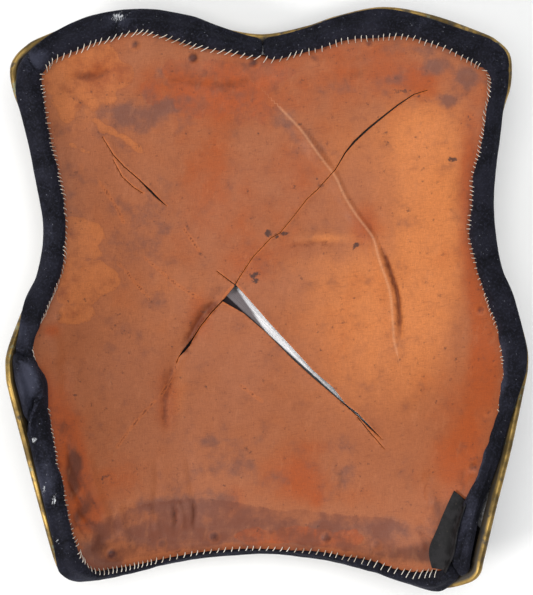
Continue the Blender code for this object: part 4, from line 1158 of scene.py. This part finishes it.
def leather_relief(places, plan, u, v):
    """How far the leather stands up from its even lie."""
    rise = np.zeros(len(places))
    for line, height, left, right in LINING_FOLDS:
        distance, side, along = beside_line(places, smooth_line(line))
        half_width = np.where(side > 0, left, right)
        rise += height * fading(along, 0.01, 1.8) * np.exp(-((distance / half_width) ** 2))
    for line, depth, half_width in FOLD_GROOVES:
        distance, _, along = beside_line(places, smooth_line(line))
        rise -= depth * fading(along, 0.01, 1.8) * np.exp(-((distance / half_width) ** 2))
    for line in TEAR_LINES:
        distance, side, along = beside_line(places, [point[:2] for point in line])
        lip = np.exp(-((distance / TEAR_LIP_WIDTH) ** 2))
        rise += fading(along, 0.02, 2) * lip * np.where(side < 0, TEAR_LIP_HEIGHT, TEAR_LIP_HEIGHT / 3)
    gash = -inside_outline(places, GASH_OUTLINE)
    rise += TEAR_LIP_HEIGHT * np.exp(-((np.maximum(gash, 0) / GASH_LIP_WIDTH) ** 2))
    rise += RIVET_BUMP_HEIGHT * washed(places, rivet_touches(RIVET_BUMP_RADIUS))
    x, y = plan[:, 0] * 1000, plan[:, 1] * 1000
    inner_part = eased(6 * np.minimum(np.minimum(u, 1 - u), np.minimum(v, 1 - v)))
    sag = np.sin(x / 23 + 1.2) * np.sin(y / 31 + 0.4)
    sag = sag + 0.6 * np.sin(x / 13 - y / 17) + 0.4 * np.sin(x / 9 + y / 41 + 2)
    rise += SAG_DEPTH * sag * inner_part * 0.6
    # Each stitch pulls the edge down a little
    rim = np.minimum(np.minimum(u, 1 - u), np.minimum(v, 1 - v))
    around = np.arctan2(plan[:, 1], plan[:, 0]) * 0.18 / STITCH_STEP * 1.1
    return rise - PUCKER_DEPTH * np.cos(2 * math.pi * around) * np.exp(-((rim / RIM_WIDTH) ** 2))


def lining_place(u, v):
    plan = patch_plan(lambda share: seam_plan(share, BENT_CLEARANCE), u, v)
    height = lining_height(u, v)
    places = picture_places(above_form(plan, height + LINING_THICKNESS))
    return above_form(plan, height + leather_relief(places, plan, u, v))


def cut_with(piece, outline, raw):
    """Cuts a piece through with an upright prism that stands on a picture outline."""
    plan = above_form(under_picture(outline, LINING_MIDDLE_GAP + LINING_THICKNESS), LINING_MIDDLE_GAP)[:, :2]
    bpy.ops.object.select_all(action="DESELECT")
    bpy.ops.mesh.primitive_circle_add(vertices=len(plan), fill_type="NGON")
    cutter = bpy.context.object
    for vertex, (x, y) in zip(cutter.data.vertices, plan):
        vertex.co = (x, y, -0.01)
    bpy.ops.object.mode_set(mode="EDIT")
    bpy.ops.mesh.select_all(action="SELECT")
    bpy.ops.mesh.extrude_region_move(TRANSFORM_OT_translate={"value": (0, 0, 0.2)})
    bpy.ops.mesh.select_all(action="SELECT")
    bpy.ops.mesh.normals_make_consistent(inside=False)
    bpy.ops.object.mode_set(mode="OBJECT")
    cutter.data.materials.append(raw)
    cut = {"operation": "DIFFERENCE", "solver": "EXACT", "material_mode": "TRANSFER"}
    apply_modifier(piece, "BOOLEAN", object=cutter, **cut)
    bpy.data.objects.remove(cutter)


lining = add_grid("lining", LINING_COLUMNS, LINING_ROWS, lining_place)
apply_modifier(lining, "SOLIDIFY", thickness=LINING_THICKNESS, offset=1)

tan, tree, shader = new_finish("tan_leather", ink(164, 96, 60), 0.55)
raw, raw_tree, raw_shader = new_finish("raw_leather_edge", ink(150, 80, 40), 0.9)
lining.data.materials.append(tan)
cut_with(lining, GASH_OUTLINE, raw)
for line in TEAR_LINES:
    cut_with(lining, tear_outline(line), raw)

# The painted shade on the steel under the narrow tears, kept off the open sliver
places = seen_points(plate)
slit = np.min([beside_line(places, [p[:2] for p in line])[0] for line in TEAR_LINES[:4]], axis=0)
bright = np.exp(-((np.linalg.norm(places - np.array(OPEN_SLIVER), axis=1) / 7.0) ** 4))
add_mask(plate, "slit", np.exp(-((slit / 5.0) ** 4)) * (1 - bright))
places = seen_points(lining)
for name, washes in (
    ("light", LIGHT_WASHES),
    ("burnt", BURNT_WASHES),
    ("dark", DARK_WASHES),
    ("grey", GREY_WASHES),
    ("spots", SPOTS),
):
    add_mask(lining, name, washed(places, washes))
for name, stains in (("pale_stain", PALE_STAINS), ("red_stain", RED_STAINS), ("damp", DAMP_BAND)):
    add_mask(lining, name, np.max([inside_outline(places, stain) for stain in stains], axis=0))
torn = np.min([beside_line(places, [p[:2] for p in line])[0] - 0.5 for line in TEAR_LINES], axis=0)
add_mask(lining, "torn", np.minimum(torn, -inside_outline(places, GASH_OUTLINE)))
add_mask(lining, "creased", np.min([beside_line(places, smooth_line(line))[0] for line in CREASE_LINES], axis=0))
add_mask(lining, "over_rivet", washed(places, rivet_touches(RIVET_BUMP_RADIUS * 1.25)))
# Painted shade in the grooves, darker the deeper each one is
groove_shades = []
for line, depth, width in FOLD_GROOVES:
    distance, _, along = beside_line(places, smooth_line(line))
    darkness = min(1, depth / GROOVE_SHADE_FULL_DEPTH) * fading(along, 0.01, 1.6)
    groove_shades.append(darkness * np.exp(-((distance / width) ** 2)))
add_mask(lining, "groove_shade", np.max(groove_shades, axis=0))
# The long fold's crest, along which a highlight is painted
ridge, side, _ = beside_line(places, smooth_line(LONG_FOLD))
add_mask(lining, "ridge", ridge * side)
seam_loop = picture_places(above_form(seam_line, np.full(len(seam_line), SEAM_HEIGHT)))[::8]
add_mask(lining, "from_seam", beside_line(places, np.vstack([seam_loop, seam_loop[:1]]))[0])

cloud = mottle(tree, position(tree), 26, 6, 0.6)
blotch = mottle(tree, position(tree), 70, 5, 0.6)
fine = mottle(tree, position(tree), 210, 4, 0.65)
grain = mottle(tree, position(tree), 1500, 2, 0.6)
streaks = mottle(tree, position(tree, (1, 0.12, 1), math.radians(8)), 120, 4, 0.65)
upright = mottle(tree, position(tree, (0.35, 1, 1), math.radians(-14)), 75, 5, 0.6)
threads = sum_of(
    tree, mottle(tree, position(tree, (1, 0.15, 1)), 260, 2), mottle(tree, position(tree, (0.15, 1, 1)), 260, 2)
)
uneven = sum_of(tree, cloud, 0.5, "SUBTRACT")
uneven_fine = sum_of(tree, fine, 0.5, "SUBTRACT")
uneven_middle = sum_of(tree, blotch, 0.5, "SUBTRACT")


def patchy(name, share, pattern=uneven):
    """A painted mask broken up by a pattern."""
    return sum_of(tree, mask_of(tree, name), sum_of(tree, pattern, share, "MULTIPLY"))


ragged = sum_of(tree, sum_of(tree, uneven_fine, 5.0, "MULTIPLY"), sum_of(tree, uneven_middle, 14.0, "MULTIPLY"))
# Lighter tones, with a painted highlight and painted shade at the fold across the middle
colour = over(tree, ramp(tree, patchy("light", 0.8), 0.0, 1.0), ink(164, 95, 58), ink(206, 123, 65))
# Burnt tones, with painted shade in the dip beside the lower tear
burnt = ramp(tree, patchy("burnt", 1.5), 0.05, 0.85, 0, 0.95)
colour = over(tree, burnt, colour, ink(166, 76, 28))
scorched = ramp(tree, patchy("burnt", 2.0, uneven_middle), 0.98, 1.6, 0, 0.8)
colour = over(tree, scorched, colour, ink(116, 46, 20))
grey = ramp(tree, patchy("grey", 2.2, uneven_middle), 0.15, 0.95, 0, 0.85)
colour = over(tree, grey, colour, ink(118, 78, 66))
pale = sum_of(tree, mask_of(tree, "pale_stain"), ragged)
in_pale = ramp(tree, pale, -0.5, 0.5, 0, 0.72)
burnt_too = ramp(tree, patchy("burnt", 1.8, uneven_middle), 0.05, 0.7)
pale_tone = over(tree, burnt_too, ink(194, 112, 58), ink(150, 72, 30))
colour = over(tree, in_pale, colour, pale_tone)
rim = sum_of(tree, ramp(tree, pale, -1.8, -0.2), ramp(tree, pale, 0.2, 2.0, 1, 0), "MULTIPLY")
colour = over(tree, sum_of(tree, rim, 0.22, "MULTIPLY"), colour, ink(140, 76, 44))
red = sum_of(tree, mask_of(tree, "red_stain"), ragged)
# The red stains are broken by upright streaks
red_tone = over(tree, ramp(tree, uneven_middle, -0.12, 0.12), ink(172, 80, 36), ink(150, 78, 48))
streaked = ramp(tree, upright, 0.40, 0.60, 0.45, 1.0)
in_red = sum_of(tree, ramp(tree, red, -0.6, 0.9, 0, 0.8), streaked, "MULTIPLY")
colour = over(tree, in_red, colour, red_tone)
damp = sum_of(tree, mask_of(tree, "damp"), sum_of(tree, ragged, 0.5, "MULTIPLY"))
clouded = ramp(tree, uneven_middle, -0.16, 0.12, 0.35, 1.0)
damp = sum_of(tree, ramp(tree, damp, -0.6, 1.6, 0, 0.62), clouded, "MULTIPLY")
colour = over(tree, damp, colour, ink(112, 58, 40))
edge_burn = sum_of(tree, mask_of(tree, "from_seam"), sum_of(tree, ragged, 1.0, "MULTIPLY"))
colour = fading_stain(tree, colour, edge_burn, 0.0, 9.0, 0.40, (138, 62, 28))
wrinkled = sum_of(tree, sum_of(tree, upright, blotch), 1.0, "SUBTRACT")
# Darker leather, with painted shade in the wrinkles and beside the lower tear
dark = ramp(tree, patchy("dark", 0.9, wrinkled), 0.08, 0.95, 0, 0.88)
colour = over(tree, dark, colour, ink(80, 38, 22))
# Painted shade in the grooves beside the folds
groove_shade = sum_of(tree, mask_of(tree, "groove_shade"), sum_of(tree, uneven_fine, 1.4, "MULTIPLY"))
colour = stain(tree, colour, groove_shade, 0.05, 0.95, 0.82, (104, 44, 18))
pressed = mask_of(tree, "over_rivet")
# A painted highlight in a pale ring round each rivet bump
ring_highlight = sum_of(tree, ramp(tree, pressed, 0.02, 0.14), ramp(tree, pressed, 0.14, 0.4, 1, 0), "MULTIPLY")
colour = over(tree, sum_of(tree, ring_highlight, 0.12, "MULTIPLY"), colour, ink(198, 112, 62))
over_rivet = ramp(tree, patchy("over_rivet", 1.0, uneven_fine), 0.15, 1.0, 0, 0.9)
colour = over(tree, over_rivet, colour, ink(62, 30, 30))
spots = ramp(tree, patchy("spots", 2.6, uneven_fine), 0.30, 0.75, 0, 0.88)
colour = over(tree, spots, colour, ink(40, 36, 38))
crack = sum_of(tree, mask_of(tree, "creased"), sum_of(tree, uneven_fine, 5.0, "MULTIPLY"))
colour = fading_stain(tree, colour, crack, 0.6, 2.8, 0.40, (200, 108, 50))
colour = fading_stain(tree, colour, crack, 0.0, 1.1, 0.75, (92, 42, 20))
# Painted highlight along the long fold's crest
crest_highlight = sum_of(tree, mask_of(tree, "ridge"), 0, "ABSOLUTE")
colour = fading_stain(tree, colour, crest_highlight, 0.0, 2.2, 0.38, (232, 168, 124))
# A painted highlight along the lips of the tears
lip = sum_of(tree, mask_of(tree, "torn"), sum_of(tree, uneven_fine, 2.0, "MULTIPLY"))
colour = fading_stain(tree, colour, lip, 0.1, 1.2, 0.45, (206, 112, 50))
colour = stain(tree, colour, streaks, 0.54, 0.72, 0.30, (112, 56, 34))
colour = stain(tree, colour, upright, 0.54, 0.74, 0.17, (206, 132, 88))
colour = stain(tree, colour, uneven_middle, -0.06, 0.2, 0.17, (120, 60, 34))
flecks = ramp(tree, mottle(tree, position(tree), 330, 2, 0.4), 0.72, 0.76, 0, 0.35)
colour = over(tree, flecks, colour, ink(78, 42, 30))
colour = over(tree, ramp(tree, threads, 0.80, 1.20, 0.0, 0.20), colour, ink(112, 58, 34))
colour = over(tree, ramp(tree, grain, 0.3, 0.7, 0.0, 0.14), colour, ink(96, 52, 34))
tree.links.new(colour, shader.inputs["Base Color"])
tree.links.new(ramp(tree, cloud, 0.3, 0.7, 0.46, 0.64), shader.inputs["Roughness"])
shader.inputs["Specular IOR Level"].default_value = 0.26
bumps = sum_of(tree, sum_of(tree, grain, 0.3, "MULTIPLY"), sum_of(tree, threads, 0.5, "MULTIPLY"))
bumps = sum_of(tree, bumps, sum_of(tree, sum_of(tree, dark, 1.0), upright, "MULTIPLY"))
emboss(tree, shader, sum_of(tree, bumps, fine), 0.35, 0.0005)
fibres = mottle(raw_tree, position(raw_tree), 900, 3)
raw_colour = over(raw_tree, ramp(raw_tree, fibres, 0.35, 0.65), ink(104, 50, 22), ink(176, 94, 40))
raw_tree.links.new(raw_colour, raw_shader.inputs["Base Color"])
emboss(raw_tree, raw_shader, fibres, 0.5, 0.0004)
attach(lining, "root")
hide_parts("leather_lining")

# ---------------------------------------------------------------------------------------
# The whip stitches. Waxed white thread, carried over the seam again and again from the roll
# into the leather, each stitch leaning the same way and pulled down tight at both ends.
THREAD_RADIUS = 0.00030
THREAD_SIDES = 6
STITCH_ON_ROLL = 0.0028
STITCH_ON_LEATHER = 0.0032
STITCH_LEAN = 0.0010
STITCH_ARCH = 0.0013
STITCH_BITE = 0.0005
LEAN_SPREAD = 0.35
SLANTED_STITCH = 2.2
SLANTED_FROM, SLANTED_TO = 0.90, 0.02
STEP_SPREAD = 0.16
REACH_SPREAD = 0.2
STITCH_RINGS = 7
CROWDED_STEP = 0.66
SHORT_STITCH = 0.62
SHORT_FROM, SHORT_TO = 0.40, 0.60
CLOSEST_STITCHES = 3.2
CROWDED_STITCHES = ((0.14, 0.39), (0.56, 0.86))


def leather_point(share, inset):
    """A point on the leather's face, an inset in from the seam."""
    plan = seam_plan(share, BENT_CLEARANCE + inset)
    return above_form(plan, PLATE_THICKNESS + LINING_EDGE_GAP + LINING_THICKNESS + 0.0001)


def stitch_line(share, lean, out):
    """The middle line of one stitch, from inside the roll over the seam into the leather."""
    ahead = lean / edge_length
    on_roll = np.array([share + ahead])
    height = roll_size(on_roll)[1][:, None]
    inset = np.linalg.norm(along_edge(on_roll) - seam_plan(on_roll), axis=1)[:, None]
    on_roll = roll_place(on_roll, -np.maximum(inset - STITCH_ON_ROLL, inset * 0.5), height * 1.02)[0, 0]
    short = SHORT_STITCH if SHORT_FROM < share < SHORT_TO else 1.0
    on_leather = leather_point(np.array([share - ahead]), np.array([STITCH_ON_LEATHER * out * short]))[0]
    up = form_normal(seam_plan(np.array([share])))[0]
    line = []
    for part in np.arange(STITCH_RINGS) / (STITCH_RINGS - 1):
        arch = STITCH_ARCH * math.sin(math.pi * part) - STITCH_BITE * (abs(2 * part - 1) ** 4)
        line.append(on_roll * (1 - part) + on_leather * part + up * arch)
    return np.array(line)


def tube_rings(line, radius):
    """Rings of points round a line."""
    ahead = unit(np.gradient(line, axis=0))
    aside = unit(np.cross(ahead, np.array([0.12, 0.07, 1.0])))
    upward = np.cross(aside, ahead)
    turn = 2 * math.pi * np.arange(THREAD_SIDES) / THREAD_SIDES
    around = aside[:, None] * np.cos(turn)[None, :, None] + upward[:, None] * np.sin(turn)[None, :, None]
    taper = np.minimum(1, 0.45 + 1.6 * np.sin(np.linspace(0, math.pi, len(line))))
    return line[:, None] + around * radius * taper[:, None, None]


# Boxes in the picture where the roll lies over the seam and hides its stitches: the left,
# top, right and bottom of each
SEAM_COVERED = ((440, 414, 525, 574), (0, 361, 60, 409))


def covered(share):
    x, y = picture_places(leather_point(np.array([share]), 0.0))[0]
    return any(left < x < right and top < y < bottom for left, top, right, bottom in SEAM_COVERED)


dice = np.random.default_rng(11)
points, faces = [], []
shares, share = [], 0.001
while share < 0.999:
    shares.append(share)
    crowded = any(start < share < end for start, end in CROWDED_STITCHES)
    step = STITCH_STEP * (CROWDED_STEP if crowded else 1.0)
    share += step * (1 + STEP_SPREAD * dice.uniform(-1, 1)) / edge_length
last_place = np.zeros(2)
for share in shares:
    place = picture_places(leather_point(np.array([share]), 0.0))[0]
    if np.linalg.norm(place - last_place) < CLOSEST_STITCHES:
        continue
    last_place = place
    if covered(share):
        continue
    slanted = SLANTED_STITCH if SLANTED_FROM < share or share < SLANTED_TO else 1.0
    lean = STITCH_LEAN * (1.0 + LEAN_SPREAD * dice.uniform(-1, 1)) * slanted
    line = stitch_line(share, lean, 1 + REACH_SPREAD * dice.uniform(-1, 1))
    rings = tube_rings(line, THREAD_RADIUS)
    first = len(points)
    points += rings.reshape(-1, 3).tolist()
    for k in range(len(rings) - 1):
        a, b = first + k * THREAD_SIDES, first + (k + 1) * THREAD_SIDES
        for j in range(THREAD_SIDES):
            beside = (j + 1) % THREAD_SIDES
            faces.append((a + j, a + beside, b + beside, b + j))
    faces.append(tuple(first + j for j in range(THREAD_SIDES))[::-1])
    faces.append(tuple(first + (len(rings) - 1) * THREAD_SIDES + j for j in range(THREAD_SIDES)))
stitching = add_body("stitches", points, faces)
thread, tree, shader = new_finish("waxed_thread", ink(232, 226, 212), 0.7)
twist = mottle(tree, position(tree), 700, 3)
colour = over(tree, ramp(tree, twist, 0.35, 0.65), ink(206, 195, 178), ink(236, 230, 219))
grime = ramp(tree, mottle(tree, position(tree), 30, 3), 0.50, 0.66, 0, 0.55)
colour = over(tree, grime, colour, ink(160, 140, 116))
tree.links.new(colour, shader.inputs["Base Color"])
emboss(tree, shader, twist, 0.6, 0.0003)
stitching.data.materials.append(thread)
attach(stitching, "root")

# ---------------------------------------------------------------------------------------
# The tab. A folded strip of thin black leather tucked under the lower right corner's seam,
# its face rubbed and its upper end lying against the roll.
TAB_THICKNESS = 0.0010
TAB_LIFT = 0.0016
TAB_UPTURN = 0.0045
TAB_CURL = 0.0012
TAB_WAVE = 0.0006
TAB_CLEARANCE = 0.0015
TAB_LEFT = ((434, 566), (431.5, 547), (441, 524.5), (456.7, 491))
TAB_RIGHT = ((452, 570), (460, 552), (465, 530), (472, 505))
TAB_COLUMNS = 14
TAB_ROWS = 44


def tab_place(u, v):
    """A point of the tab: u across its width, v from the foot to the top."""
    left, right = smooth_line(TAB_LEFT, 12), smooth_line(TAB_RIGHT, 12)
    marks = np.linspace(0, 1, len(left))
    sides = [np.stack([np.interp(v, marks, side[:, k]) for k in (0, 1)], axis=1) for side in (left, right)]
    seen = sides[0] * (1 - u[:, None]) + sides[1] * u[:, None]
    curl = TAB_LIFT + TAB_CURL * np.abs(2 * u - 1) ** 2 + TAB_WAVE * np.sin(v * 9 + u * 2)
    plan = under_picture(seen, SEAM_HEIGHT)
    rise = PLATE_THICKNESS + LINING_EDGE_GAP + LINING_THICKNESS + curl + TAB_CLEARANCE
    return above_form(plan, rise + TAB_UPTURN * np.clip(2 * u - 1, 0, 1) ** 2)


tab = add_grid("tab", TAB_COLUMNS, TAB_ROWS, tab_place)
apply_modifier(tab, "SOLIDIFY", thickness=TAB_THICKNESS, offset=1)
apply_modifier(tab, "BEVEL", width=0.0002, segments=2)
black, tree, shader = new_finish("black_leather", ink(20, 19, 21), 0.6)
wear = mottle(tree, position(tree), 170, 5, 0.65)
colour = over(tree, ramp(tree, wear, 0.40, 0.62), ink(14, 14, 16), ink(36, 35, 37))
rubbed = ramp(tree, mottle(tree, position(tree), 420, 4, 0.7), 0.60, 0.72, 0, 0.5)
colour = over(tree, rubbed, colour, ink(74, 66, 58))
tree.links.new(colour, shader.inputs["Base Color"])
tree.links.new(ramp(tree, wear, 0.3, 0.7, 0.55, 0.75), shader.inputs["Roughness"])
shader.inputs["Specular IOR Level"].default_value = 0.18
emboss(tree, shader, wear, 0.5, 0.0004)
tab.data.materials.append(black)
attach(tab, "root")
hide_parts("leather_tab")
